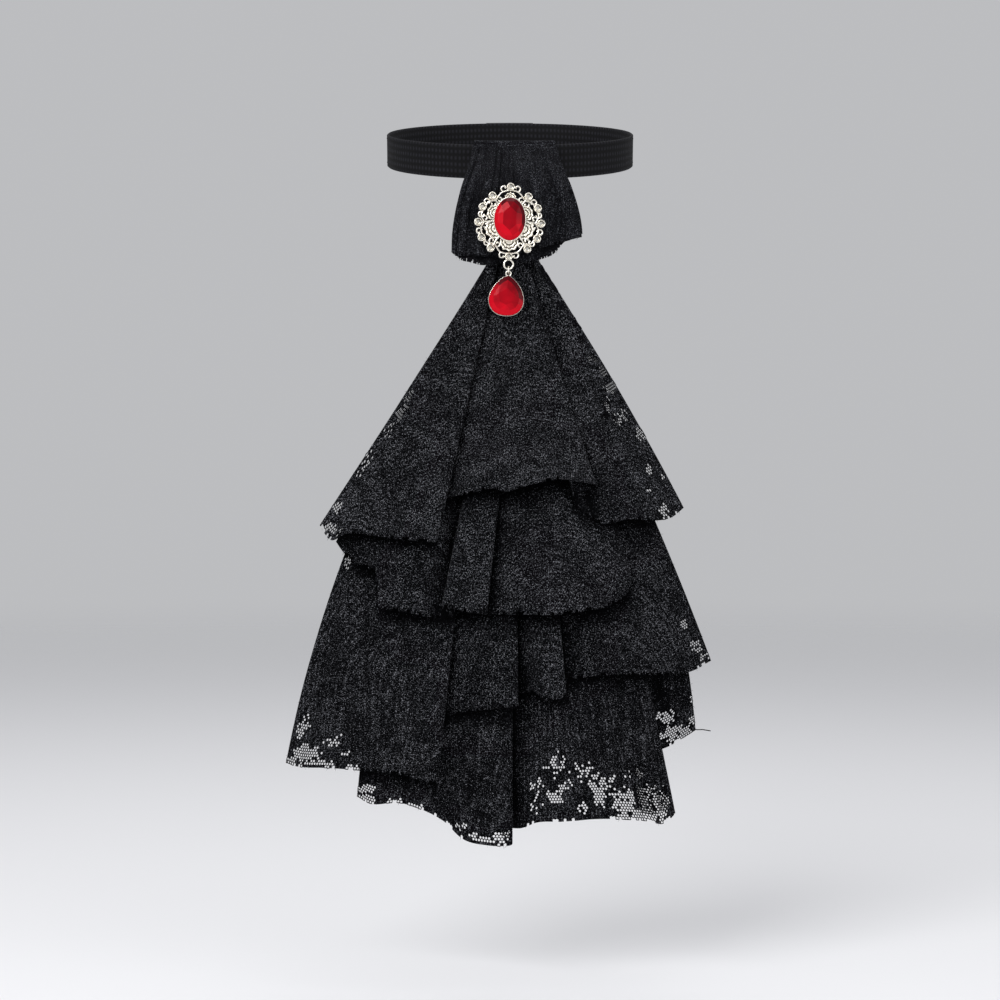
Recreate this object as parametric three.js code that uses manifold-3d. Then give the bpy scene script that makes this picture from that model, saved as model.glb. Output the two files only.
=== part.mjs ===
// A black lace jabot: neck loop, pleated knot, four gathered tiers, and a pierced brooch with a swinging drop.
// Lengths are in millimetres. +Z is up, the wearer faces -Y, and the origin is the centre of the neck loop.
import * as THREE from "three";
import Module from "manifold-3d";

// Neck loop
const NECK_RADIUS = 57; // mean radius, a loop of about 360 mm
const BAND_WIDTH = 15;
const BAND_WALL = 1.2;
const BAND_TILT = 15; // degrees that the loop drops towards the front
const CLASP_LENGTH = 22;
const CLASP_WALL = 2.2;

// Cloth
const CLOTH_WALL = 1;
const CLEARANCE = 0.3; // air between two neighbouring pieces
const GATHER_WIDTH = 23; // all tiers are gathered to this width inside the knot
const HEM_PITCH = 2.3; // from one pleat layer to the next at the hems
const HEM_GAP = 1.2; // air between two tiers at the hems
const CHEST_SWELL = 34; // how far the hems stand in front of the neck line
const CHEST_RUN = 185; // the height over which they come forward
const CHEST_ROUND = 300; // radius of the chest seen from above

// Knot
const KNOT_TOP = -6;
const KNOT_HEIGHT = 53; // from the fold over the band to the lowest point of the front hem
const KNOT_WIDTH = 56.8;
const KNOT_WALL = 1.2;
const KNOT_TAB = 6; // how far its back tab hangs below the band
const KNOT_CREASE = 1.1; // depth of its gathers

// Tiers: the widest hem, the longest drop under the knot, and each tier's shares of them
const WIDEST_HEM = 176.5;
const LONGEST_DROP = 249.7;
const TIER_SHARES = {
  tier_1: { spread: 0.85, drop: 0.4846 },
  tier_2: { spread: 0.68, drop: 0.6168 },
  tier_3: { spread: 1, drop: 0.8907 },
  tier_4: { spread: 0.816, drop: 1 },
};

// Brooch
const BROOCH_WIDTH = 27.3; // between the centres of the two side stones
const BROOCH_HEIGHT = 30.1; // between the centres of the top and bottom stones
const BROOCH_TURN = 1.7; // degrees that it leans to the wearer's left
const BROOCH_PLATE = 1.2;
const STONE_WIDTH = 13.2;
const STONE_HEIGHT = 18.2;
const STONE_RISE = 3.4;
const RHINESTONE = 2.3; // diameter of a small round stone
const CUP_WALL = 0.35;
const WIRE = 0.8; // thickness of ring and scroll wire
const BAIL_RADIUS = 2;
const RING_RADIUS = 1.5;
const LOOP_RADIUS = 1.1;
const DROP_WIDTH = 15.4;
const DROP_HEIGHT = 18;
const DROP_RIM = 0.6;
const DROP_LEAN = 5; // degrees that it hangs aside, as it lies on the lace
const DROP_DEPTH = 3.2;

const wasm = await Module();
wasm.setup();

const lerp = (a, b, t) => a + (b - a) * t;
const clamp01 = (t) => Math.min(Math.max(t, 0), 1);
const radians = (degrees) => (degrees * Math.PI) / 180;

const LACE = new THREE.MeshStandardMaterial({ color: "#17171c", roughness: 0.92, metalness: 0 });
const BRAID = new THREE.MeshStandardMaterial({ color: "#101013", roughness: 0.8, metalness: 0 });
const METAL = new THREE.MeshStandardMaterial({ color: "#d9d3c2", roughness: 0.28, metalness: 1 });
const CRYSTAL = new THREE.MeshStandardMaterial({ color: "#e4e2dc", roughness: 0.05, metalness: 0 });
const RED = new THREE.MeshStandardMaterial({ color: "#c00a1e", roughness: 0.08, metalness: 0 });

const jabot = new THREE.Group();
jabot.name = "jabot";

function add(name, geometry, material) {
  const mesh = new THREE.Mesh(geometry, material);
  mesh.name = name;
  jabot.add(mesh);
}

// Shared places, worked out from the sizes above
const FOLD_PITCH = CLOTH_WALL + CLEARANCE;
const NECK_LINE = KNOT_TOP - 1.02 * KNOT_HEIGHT;
const STACK_REAR = NECK_RADIUS * Math.cos(radians(BAND_TILT)) + BAND_WALL / 2 + CLEARANCE + CLOTH_WALL / 2;
const TIER_COUNT = 4;
const NECK_STEP = 2 * FOLD_PITCH + CLOTH_WALL + CLEARANCE;
const STACK_FRONT = STACK_REAR + (TIER_COUNT - 1) * NECK_STEP + 2 * FOLD_PITCH + CLOTH_WALL / 2;

// Distance in front of the origin of a tier's cloth. Layer 0 is a tier's front, layer 2 its back.
function clothDepth(x, z, tier, layer) {
  const below = clamp01((NECK_LINE - z) / CHEST_RUN);
  const swell = below * below * (3 - 2 * below);
  const pitch = lerp(FOLD_PITCH, Math.max(HEM_PITCH, FOLD_PITCH), swell);
  const step = 2 * pitch + CLOTH_WALL + lerp(CLEARANCE, HEM_GAP, swell);
  const body = STACK_REAR + CHEST_SWELL * swell - (x * x * swell) / (2 * CHEST_ROUND);
  return body + (TIER_COUNT - tier) * step + (2 - layer) * pitch;
}

// A closed wall of even thickness about a grid of middle points, grid[level][row].
function clothWall(grid, wall) {
  const levels = grid.length;
  const rows = grid[0].length;
  const normalOf = (level, a, b) => {
    const down = grid[Math.min(level + 1, levels - 1)][a].clone().sub(grid[Math.max(level - 1, 0)][a]);
    const along = grid[level][b].clone().sub(grid[level][a]);
    return down.cross(along).normalize();
  };
  const offset = (level, row) => {
    const before = normalOf(level, Math.max(row - 1, 0), Math.max(row, 1));
    const after = normalOf(level, Math.min(row, rows - 2), Math.min(row + 1, rows - 1));
    const mitre = before.clone().add(after);
    return mitre.multiplyScalar(wall / 2 / Math.max(1 + before.dot(after), 0.7));
  };
  const points = [];
  for (let level = 0; level < levels; level++) {
    const front = [];
    const back = [];
    for (let row = 0; row < rows; row++) {
      const shift = offset(level, row);
      front.push(grid[level][row].clone().add(shift));
      back.unshift(grid[level][row].clone().sub(shift));
    }
    points.push(...front, ...back);
  }
  const round = 2 * rows;
  const faces = [];
  const quad = (a, b, c, d) => faces.push(a, b, c, a, c, d);
  for (let level = 0; level < levels - 1; level++) {
    for (let i = 0; i < round; i++) {
      const j = (i + 1) % round;
      quad(level * round + i, (level + 1) * round + i, (level + 1) * round + j, level * round + j);
    }
  }
  const last = (levels - 1) * round;
  for (let row = 0; row < rows - 1; row++) {
    const back = round - 1 - row;
    quad(row, row + 1, back - 1, back);
    quad(last + row, last + back, last + back - 1, last + row + 1);
  }
  const geometry = new THREE.BufferGeometry().setFromPoints(points);
  geometry.setIndex(faces);
  geometry.computeVertexNormals();
  return geometry;
}

// Pleats of each tier from the wearer's right to left. neck: place in the gathered top, -1 to 1.
// hem: place at the hem, a share of the spread. drop: length, a share of the tier's drop.
// layer: 0 front, 1 fold return, 2 back. flare: how far the hem tips forward, a share of the drop.
// bow: how far the line bulges sideways half way down, a share of the spread.
const PLEATS = {
  tier_1: [
    { neck: -1.0, hem: -0.533, drop: 0.942, layer: 0, flare: 0.0, bow: -0.004 },
    { neck: -0.94, hem: -0.494, drop: 0.994, layer: 0, flare: 0.02, bow: -0.004 },
    { neck: -0.88, hem: -0.461, drop: 0.97, layer: 0, flare: 0.015, bow: -0.003 },
    { neck: -0.82, hem: -0.394, drop: 0.977, layer: 0, flare: 0.0, bow: -0.002 },
    { neck: -0.74, hem: -0.311, drop: 0.991, layer: 0, flare: 0.01, bow: 0 },
    { neck: -0.64, hem: -0.211, drop: 1.0, layer: 0, flare: 0.02, bow: 0 },
    { neck: -0.64, hem: -0.211, drop: 0.996, layer: 1, flare: 0.02, bow: 0 },
    { neck: -0.84, hem: -0.3, drop: 0.95, layer: 1, flare: 0.0, bow: 0 },
    { neck: -0.84, hem: -0.3, drop: 0.87, layer: 2, flare: 0.0, bow: 0 },
    { neck: -0.44, hem: -0.187, drop: 0.848, layer: 2, flare: 0.0, bow: 0 },
    { neck: -0.26, hem: -0.11, drop: 0.828, layer: 0.8, flare: 0.02, bow: 0 },
    { neck: -0.1, hem: -0.051, drop: 0.813, layer: 0, flare: 0.03, bow: 0 },
    { neck: 0.0, hem: -0.02, drop: 0.825, layer: 0, flare: 0.045, bow: 0 },
    { neck: 0.14, hem: 0.055, drop: 0.8, layer: 0, flare: 0.07, bow: 0 },
    { neck: 0.26, hem: 0.131, drop: 0.782, layer: 0, flare: 0.08, bow: 0 },
    { neck: 0.4, hem: 0.201, drop: 0.793, layer: 0, flare: 0.06, bow: 0 },
    { neck: 0.52, hem: 0.237, drop: 0.8, layer: 0, flare: 0.045, bow: 0 },
    { neck: 0.52, hem: 0.237, drop: 0.812, layer: 1, flare: 0.045, bow: 0 },
    { neck: 0.34, hem: 0.179, drop: 0.83, layer: 1, flare: 0.02, bow: 0 },
    { neck: 0.34, hem: 0.179, drop: 0.863, layer: 2, flare: 0.0, bow: 0 },
    { neck: 0.7, hem: 0.257, drop: 0.935, layer: 2, flare: 0.0, bow: 0.004 },
    { neck: 0.82, hem: 0.332, drop: 0.921, layer: 0.6, flare: 0.01, bow: 0.006 },
    { neck: 0.9, hem: 0.407, drop: 0.907, layer: 0, flare: 0.02, bow: 0.009 },
    { neck: 0.96, hem: 0.444, drop: 0.901, layer: 0, flare: 0.01, bow: 0.011 },
    { neck: 1.0, hem: 0.477, drop: 0.88, layer: 0, flare: -0.01, bow: 0.012 },
  ],
  tier_2: [
    { neck: -1.0, hem: -0.577, drop: 0.804, layer: 2, flare: 0.0, bow: 0 },
    { neck: -0.92, hem: -0.541, drop: 0.842, layer: 2, flare: 0.01, bow: 0 },
    { neck: -0.82, hem: -0.463, drop: 0.888, layer: 2, flare: 0.0, bow: 0 },
    { neck: -0.7, hem: -0.385, drop: 0.9, layer: 2, flare: 0.0, bow: 0 },
    { neck: -0.7, hem: -0.385, drop: 0.93, layer: 1, flare: 0.0, bow: 0 },
    { neck: -0.88, hem: -0.467, drop: 0.96, layer: 1, flare: 0.01, bow: 0 },
    { neck: -0.88, hem: -0.467, drop: 0.962, layer: 0, flare: 0.01, bow: 0 },
    { neck: -0.7, hem: -0.372, drop: 0.975, layer: 0, flare: 0.015, bow: 0 },
    { neck: -0.52, hem: -0.32, drop: 0.985, layer: 0.4, flare: 0.01, bow: 0 },
    { neck: -0.32, hem: -0.268, drop: 0.994, layer: 2, flare: 0.0, bow: 0 },
    { neck: -0.02, hem: -0.208, drop: 1.0, layer: 2, flare: 0.0, bow: 0 },
    { neck: -0.02, hem: -0.208, drop: 0.99, layer: 1, flare: 0.0, bow: 0 },
    { neck: -0.16, hem: -0.239, drop: 0.965, layer: 1, flare: 0.0, bow: 0 },
    { neck: -0.16, hem: -0.239, drop: 0.961, layer: 0, flare: 0.01, bow: 0 },
    { neck: 0.08, hem: -0.162, drop: 0.973, layer: 0, flare: 0.02, bow: 0 },
    { neck: 0.36, hem: -0.088, drop: 0.981, layer: 0, flare: 0.025, bow: 0 },
    { neck: 0.36, hem: -0.088, drop: 0.98, layer: 1, flare: 0.025, bow: 0 },
    { neck: 0.22, hem: -0.15, drop: 0.98, layer: 1, flare: 0.0, bow: 0 },
    { neck: 0.22, hem: -0.15, drop: 0.98, layer: 2, flare: 0.0, bow: 0 },
    { neck: 0.56, hem: -0.062, drop: 0.983, layer: 2, flare: 0.0, bow: 0 },
    { neck: 0.7, hem: 0.031, drop: 0.983, layer: 0.9, flare: 0.01, bow: 0 },
    { neck: 0.78, hem: 0.164, drop: 0.982, layer: 0, flare: 0.025, bow: 0 },
    { neck: 0.85, hem: 0.276, drop: 0.969, layer: 0, flare: 0.02, bow: 0 },
    { neck: 0.91, hem: 0.334, drop: 0.962, layer: 0, flare: 0.01, bow: 0 },
    { neck: 0.96, hem: 0.417, drop: 0.917, layer: 0.4, flare: -0.005, bow: 0 },
    { neck: 1.0, hem: 0.424, drop: 0.863, layer: 1, flare: -0.006, bow: 0 },
  ],
  tier_3: [
    { neck: -1.0, hem: -0.526, drop: 0.949, layer: 0, flare: -0.01, bow: -0.062 },
    { neck: -0.95, hem: -0.506, drop: 0.973, layer: 0, flare: 0.0, bow: -0.06 },
    { neck: -0.89, hem: -0.434, drop: 0.971, layer: 0, flare: 0.01, bow: -0.05 },
    { neck: -0.83, hem: -0.362, drop: 0.975, layer: 0, flare: 0.0, bow: -0.038 },
    { neck: -0.75, hem: -0.266, drop: 0.985, layer: 0, flare: 0.01, bow: -0.02 },
    { neck: -0.66, hem: -0.177, drop: 1.0, layer: 0, flare: 0.02, bow: -0.005 },
    { neck: -0.66, hem: -0.177, drop: 0.996, layer: 1, flare: 0.02, bow: -0.005 },
    { neck: -0.84, hem: -0.224, drop: 0.95, layer: 1, flare: 0.0, bow: 0 },
    { neck: -0.84, hem: -0.224, drop: 0.915, layer: 2, flare: 0.0, bow: 0 },
    { neck: -0.48, hem: -0.151, drop: 0.876, layer: 2, flare: 0.0, bow: 0 },
    { neck: -0.32, hem: -0.044, drop: 0.86, layer: 0, flare: 0.0, bow: 0 },
    { neck: -0.08, hem: 0.014, drop: 0.853, layer: 0, flare: 0.015, bow: 0 },
    { neck: -0.08, hem: 0.014, drop: 0.85, layer: 1, flare: 0.015, bow: 0 },
    { neck: -0.22, hem: -0.03, drop: 0.84, layer: 1, flare: 0.0, bow: 0 },
    { neck: -0.22, hem: -0.03, drop: 0.835, layer: 2, flare: 0.0, bow: 0 },
    { neck: 0.1, hem: 0.028, drop: 0.832, layer: 2, flare: 0.0, bow: 0 },
    { neck: 0.26, hem: 0.06, drop: 0.829, layer: 0, flare: 0.005, bow: 0 },
    { neck: 0.34, hem: 0.078, drop: 0.842, layer: 0, flare: 0.015, bow: 0 },
    { neck: 0.5, hem: 0.129, drop: 0.836, layer: 0, flare: 0.015, bow: 0 },
    { neck: 0.5, hem: 0.129, drop: 0.832, layer: 1, flare: 0.015, bow: 0 },
    { neck: 0.36, hem: 0.094, drop: 0.82, layer: 1, flare: 0.0, bow: 0 },
    { neck: 0.36, hem: 0.094, drop: 0.81, layer: 2, flare: 0.0, bow: 0 },
    { neck: 0.68, hem: 0.145, drop: 0.805, layer: 2, flare: 0.0, bow: 0 },
    { neck: 0.84, hem: 0.25, drop: 0.795, layer: 0, flare: 0.01, bow: 0.004 },
    { neck: 0.9, hem: 0.345, drop: 0.796, layer: 0, flare: 0.015, bow: 0.008 },
    { neck: 0.96, hem: 0.423, drop: 0.79, layer: 0, flare: 0.0, bow: 0.013 },
    { neck: 1.0, hem: 0.474, drop: 0.771, layer: 0, flare: -0.015, bow: 0.018 },
  ],
  tier_4: [
    { neck: -1.0, hem: -0.451, drop: 0.917, layer: 1, flare: 0.0, bow: 0 },
    { neck: -0.9, hem: -0.41, drop: 0.929, layer: 0.5, flare: 0.0, bow: 0 },
    { neck: -0.78, hem: -0.333, drop: 0.923, layer: 0, flare: 0.005, bow: 0 },
    { neck: -0.66, hem: -0.269, drop: 0.934, layer: 0, flare: 0.01, bow: 0 },
    { neck: -0.54, hem: -0.201, drop: 0.958, layer: 0, flare: 0.01, bow: 0 },
    { neck: -0.42, hem: -0.139, drop: 0.991, layer: 0, flare: 0.005, bow: 0 },
    { neck: -0.3, hem: -0.074, drop: 1.0, layer: 0, flare: 0.01, bow: 0 },
    { neck: -0.1, hem: 0.0, drop: 0.997, layer: 0, flare: 0.015, bow: 0 },
    { neck: -0.1, hem: 0.0, drop: 0.99, layer: 1, flare: 0.015, bow: 0 },
    { neck: -0.28, hem: -0.033, drop: 0.98, layer: 1, flare: 0.0, bow: 0 },
    { neck: -0.28, hem: -0.033, drop: 0.973, layer: 2, flare: 0.0, bow: 0 },
    { neck: 0.1, hem: 0.028, drop: 0.974, layer: 2, flare: 0.0, bow: 0 },
    { neck: 0.26, hem: 0.08, drop: 0.962, layer: 0.8, flare: 0.0, bow: 0 },
    { neck: 0.36, hem: 0.144, drop: 0.959, layer: 0, flare: 0.01, bow: 0.002 },
    { neck: 0.44, hem: 0.262, drop: 0.956, layer: 0, flare: 0.005, bow: 0.006 },
    { neck: 0.52, hem: 0.38, drop: 0.959, layer: 0, flare: 0.01, bow: 0.01 },
    { neck: 0.6, hem: 0.425, drop: 0.964, layer: 0, flare: 0.01, bow: 0.012 },
    { neck: 0.7, hem: 0.463, drop: 0.956, layer: 0, flare: 0.005, bow: 0.014 },
    { neck: 0.7, hem: 0.463, drop: 0.952, layer: 1, flare: 0.005, bow: 0.014 },
    { neck: 0.54, hem: 0.381, drop: 0.945, layer: 1, flare: 0.0, bow: 0.01 },
    { neck: 0.54, hem: 0.381, drop: 0.85, layer: 2, flare: 0.0, bow: 0.01 },
    { neck: 0.88, hem: 0.476, drop: 0.826, layer: 2, flare: 0.0, bow: 0.02 },
    { neck: 1.0, hem: 0.549, drop: 0.811, layer: 1.4, flare: -0.005, bow: 0.034 },
  ],
};

const HIDDEN_LEVELS = [0, 0.55];
const DROP_LEVELS = [0, 0.07, 0.16, 0.28, 0.42, 0.57, 0.72, 0.87, 1];

// A tier: gathered top hidden in the knot, then pleats that spread to the hem.
function tierWall(name, tier) {
  const spread = TIER_SHARES[name].spread * WIDEST_HEM;
  const drop = TIER_SHARES[name].drop * LONGEST_DROP;
  const top = KNOT_TOP - (0.19 + 0.066 * (TIER_COUNT - tier)) * KNOT_HEIGHT;
  const hidden = HIDDEN_LEVELS.map((share) => ({ z: lerp(top, NECK_LINE, share), down: 0 }));
  const shown = DROP_LEVELS.map((share) => ({ z: NECK_LINE, down: share }));
  const grid = [...hidden, ...shown].map((level) =>
    PLEATS[name].map((pleat) => {
      const bulge = 4 * level.down * (1 - level.down) * pleat.bow * spread;
      const x = lerp((pleat.neck * GATHER_WIDTH) / 2, pleat.hem * spread, level.down) + bulge;
      const z = level.z - level.down * pleat.drop * drop;
      const tip = pleat.flare * drop * level.down ** 6;
      return new THREE.Vector3(x, -clothDepth(x, z, tier, pleat.layer) - tip, z);
    }),
  );
  return clothWall(grid, CLOTH_WALL);
}

Object.keys(PLEATS).forEach((name, i) => add(name, tierWall(name, i + 1), LACE));

// Knot: its columns run from the wearer's right to left. across: share of the half width.
// valley: share of the crease depth. hem and under: where the front hem and the layer under it end.
const KNOT_COLUMNS = [
  { across: -0.94, valley: 0.3, hem: 0.9, under: 0.9 },
  { across: -0.86, valley: 0.0, hem: 0.945, under: 0.97 },
  { across: -0.68, valley: 0.4, hem: 0.955, under: 1.0 },
  { across: -0.5, valley: 0.0, hem: 0.975, under: 1.04 },
  { across: -0.32, valley: 0.2, hem: 0.99, under: 1.045 },
  { across: -0.21, valley: 1.0, hem: 1.0, under: 1.05 },
  { across: -0.08, valley: 0.1, hem: 1.0, under: 1.05 },
  { across: 0.05, valley: 0.9, hem: 0.99, under: 1.05 },
  { across: 0.19, valley: 0.0, hem: 0.965, under: 1.04 },
  { across: 0.35, valley: 1.0, hem: 0.935, under: 1.005 },
  { across: 0.52, valley: 0.1, hem: 0.905, under: 0.995 },
  { across: 0.7, valley: 0.5, hem: 0.875, under: 0.955 },
  { across: 0.88, valley: 0.0, hem: 0.85, under: 0.86 },
  { across: 1.06, valley: 0.4, hem: 0.81, under: 0.8 },
];

// The knot's path from the end of its back tab, over the band, to the front hem.
// width: share of the full width. reach: from the band (0) to the knot's front (1). fall: share of the height.
const KNOT_FRONT_PATH = [
  { width: 0.64, reach: 0.03, fall: 0.045 },
  { width: 0.66, reach: 0.17, fall: 0.1 },
  { width: 0.7, reach: 0.5, fall: 0.205 },
  { width: 0.76, reach: 0.8, fall: 0.32 },
  { width: 0.84, reach: 1.0, fall: 0.45 },
  { width: 0.93, reach: 1.0, fall: 0.64 },
  { width: 0.985, reach: 1.0, fall: 0.83 },
  { width: 1.0, reach: 0.985, fall: 1.0 },
];

const tilt = radians(BAND_TILT);
const bandPoint = (radius, up) => ({
  depth: radius * Math.cos(tilt) + up * Math.sin(tilt),
  z: up * Math.cos(tilt) - radius * Math.sin(tilt),
});
// How far the round band falls back at a distance x from its front.
const roundLoss = (x) => NECK_RADIUS - Math.sqrt(NECK_RADIUS ** 2 - x ** 2);
const UNDER_MIDDLE = STACK_FRONT + CLEARANCE + CLOTH_WALL / 2 + roundLoss(GATHER_WIDTH / 2 + CLOTH_WALL);
const KNOT_FRONT = UNDER_MIDDLE + CLOTH_WALL / 2 + CLEARANCE + KNOT_CREASE + KNOT_WALL / 2;

function knotWrap() {
  const away = BAND_WALL / 2 + CLEARANCE + KNOT_WALL / 2;
  const bandTop = BAND_WIDTH / 2;
  const back = [
    { ...bandPoint(NECK_RADIUS - away, -bandTop - KNOT_TAB), width: 0.5 },
    { ...bandPoint(NECK_RADIUS - away, -bandTop + KNOT_TAB / 2), width: 0.56 },
    { ...bandPoint(NECK_RADIUS - away, bandTop), width: 0.62 },
    { ...bandPoint(NECK_RADIUS - away / 2, bandTop + away * 0.9), width: 0.63 },
    { ...bandPoint(NECK_RADIUS + away / 2, bandTop + away * 0.9), width: 0.63 },
    { ...bandPoint(NECK_RADIUS + away, bandTop), width: 0.64 },
  ].map((station) => ({ ...station, crease: 0, fall: 0 }));
  const start = back[back.length - 1].depth;
  const front = KNOT_FRONT_PATH.map(({ width, reach, fall }) => ({
    depth: lerp(start, KNOT_FRONT, reach),
    z: KNOT_TOP,
    crease: clamp01(reach * 1.2) * KNOT_CREASE,
    fall,
    width,
  }));
  const grid = [...back, ...front].map((station) =>
    KNOT_COLUMNS.map(({ across, valley, hem }) => {
      const x = (across * station.width * KNOT_WIDTH) / 2;
      const round = roundLoss(x);
      const depth = station.depth - round * lerp(Math.cos(tilt), 1, station.fall) - valley * station.crease;
      const rise = round * Math.sin(tilt) * (1 - station.fall);
      const z = station.z + rise - station.fall * lerp(1, hem, station.fall) * KNOT_HEIGHT;
      return new THREE.Vector3(x, -depth, z);
    }),
  );
  return clothWall(grid, KNOT_WALL);
}
add("knot_wrap", knotWrap(), LACE);

function knotUnderlay() {
  const start = 0.55;
  const shares = [0, 0.3, 0.6, 0.82, 1];
  const grid = shares.map((share) =>
    KNOT_COLUMNS.map(({ across, under }) => {
      const x = (across * lerp(0.8, 0.92, share) * KNOT_WIDTH) / 2;
      const z = KNOT_TOP - lerp(start, under, share) * KNOT_HEIGHT;
      return new THREE.Vector3(x, roundLoss(x) - UNDER_MIDDLE, z);
    }),
  );
  return clothWall(grid, CLOTH_WALL);
}
add("knot_underlay", knotUnderlay(), LACE);

// Turns a rectangle about the neck axis: the band, and the clasp on a part of it.
function ringPart(inner, outer, width, fromDegrees, toDegrees, steps) {
  const whole = toDegrees - fromDegrees >= 360;
  const profile = [[inner, -width / 2], [outer, -width / 2], [outer, width / 2], [inner, width / 2]];
  const corners = [];
  const count = whole ? steps : steps + 1;
  for (let i = 0; i < count; i++) {
    const angle = radians(lerp(fromDegrees, toDegrees, i / steps));
    for (const [radius, z] of profile) {
      corners.push(new THREE.Vector3(radius * Math.sin(angle), radius * Math.cos(angle), z));
    }
  }
  const faces = [];
  const quad = (a, b, c, d) => faces.push(a, b, c, a, c, d);
  for (let i = 0; i < steps; i++) {
    const here = 4 * i;
    const next = 4 * ((i + 1) % count);
    for (let k = 0; k < 4; k++) quad(here + k, here + ((k + 1) % 4), next + ((k + 1) % 4), next + k);
  }
  if (!whole) {
    quad(3, 2, 1, 0);
    const end = 4 * steps;
    quad(end, end + 1, end + 2, end + 3);
  }
  const geometry = new THREE.BufferGeometry().setFromPoints(corners);
  geometry.setIndex(faces);
  geometry.rotateX(tilt);
  geometry.computeVertexNormals();
  return geometry;
}
const bandInner = NECK_RADIUS - BAND_WALL / 2;
const bandOuter = NECK_RADIUS + BAND_WALL / 2;
add("neck_band", ringPart(bandInner, bandOuter, BAND_WIDTH, 0, 360, 60), BRAID);
const claspSpan = ((CLASP_LENGTH / 2 / NECK_RADIUS) * 180) / Math.PI;
const claspInner = bandOuter + CLEARANCE;
add("neck_clasp", ringPart(claspInner, claspInner + CLASP_WALL, BAND_WIDTH, -claspSpan, claspSpan, 6), BRAID);

// Brooch, drawn with its front towards +z and then stood up on the knot.
const toSolid = (geometry) => {
  const flat = geometry.index ? geometry.toNonIndexed() : geometry;
  const merged = new Map();
  const vertices = [];
  const triangles = [];
  const position = flat.getAttribute("position");
  for (let i = 0; i < position.count; i++) {
    const point = [position.getX(i), position.getY(i), position.getZ(i)];
    const key = point.map((value) => Math.round(value * 1e4)).join(" ");
    if (!merged.has(key)) {
      merged.set(key, merged.size);
      vertices.push(...point);
    }
    triangles.push(merged.get(key));
  }
  const mesh = new wasm.Mesh({
    numProp: 3,
    vertProperties: new Float32Array(vertices),
    triVerts: new Uint32Array(triangles),
  });
  return new wasm.Manifold(mesh);
};
const toGeometry = (solid) => {
  const mesh = solid.getMesh();
  const geometry = new THREE.BufferGeometry();
  geometry.setAttribute("position", new THREE.BufferAttribute(mesh.vertProperties, 3));
  geometry.setIndex(new THREE.BufferAttribute(mesh.triVerts, 1));
  geometry.computeVertexNormals();
  return geometry;
};
const join = (geometries) => geometries.map(toSolid).reduce((whole, next) => whole.add(next));

function plate(points, bottom, height) {
  const shape = new THREE.Shape(points);
  const geometry = new THREE.ExtrudeGeometry(shape, { depth: height, bevelEnabled: false });
  return geometry.translate(0, 0, bottom);
}
const ellipse = (width, height, sides, turn = 0) =>
  Array.from({ length: sides }, (_, i) => {
    const angle = turn + (i / sides) * 2 * Math.PI;
    return new THREE.Vector2((width / 2) * Math.sin(angle), (height / 2) * Math.cos(angle));
  });

// A flat strip of even width along a middle line.
function strip(line, width, bottom, height) {
  const sides = line.map((point, i) => {
    const along = line[Math.min(i + 1, line.length - 1)].clone().sub(line[Math.max(i - 1, 0)]).normalize();
    return new THREE.Vector2(-along.y, along.x).multiplyScalar(width / 2);
  });
  const left = line.map((point, i) => point.clone().add(sides[i]));
  const right = line.map((point, i) => point.clone().sub(sides[i])).reverse();
  return plate([...right.reverse(), ...left.reverse()], bottom, height);
}

// An open ring or arc lying flat, from one angle to another.
const arcLine = (centre, radius, from, to, steps) =>
  Array.from({ length: steps + 1 }, (_, i) => {
    const angle = radians(lerp(from, to, i / steps));
    return new THREE.Vector2(centre.x + radius * Math.cos(angle), centre.y + radius * Math.sin(angle));
  });

// x and y: shares of the half width and half height. scrolled: flanked by outward scrolls before a shell lobe.
const CUPS = [
  { x: 0, y: 1, scrolled: true },
  { x: 0.57, y: 0.735, scrolled: false },
  { x: 0.875, y: 0.41, scrolled: true },
  { x: 1, y: -0.03, scrolled: false },
  { x: 0.88, y: -0.465, scrolled: true },
  { x: 0.58, y: -0.77, scrolled: false },
  { x: 0, y: -1, scrolled: true },
  { x: -0.58, y: -0.77, scrolled: false },
  { x: -0.88, y: -0.465, scrolled: true },
  { x: -1, y: -0.03, scrolled: false },
  { x: -0.875, y: 0.41, scrolled: true },
  { x: -0.57, y: 0.735, scrolled: false },
].map((cup) => ({ ...cup, place: new THREE.Vector2((cup.x * BROOCH_WIDTH) / 2, (cup.y * BROOCH_HEIGHT) / 2) }));

const STONE_CENTRE = new THREE.Vector2(0, 0.076 * (BROOCH_HEIGHT / 2));
const CUP_RADIUS = RHINESTONE / 2 + CLEARANCE * 0.6 + CUP_WALL;
const CUP_HEIGHT = BROOCH_PLATE * 1.7;

const BEZEL_WIDTH = STONE_WIDTH + 2 * CLEARANCE;
const BEZEL_HEIGHT = STONE_HEIGHT + 2 * CLEARANCE;

// Distance from the stone's centre to the bezel's edge along a direction.
const bezelReach = (out) => 1 / Math.hypot((2 * out.x) / BEZEL_WIDTH, (2 * out.y) / BEZEL_HEIGHT);
const outwards = (cup) => cup.place.clone().sub(STONE_CENTRE).normalize();
const polar = (centre, radius, angle) =>
  new THREE.Vector2(centre.x + radius * Math.cos(angle), centre.y + radius * Math.sin(angle));

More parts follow.
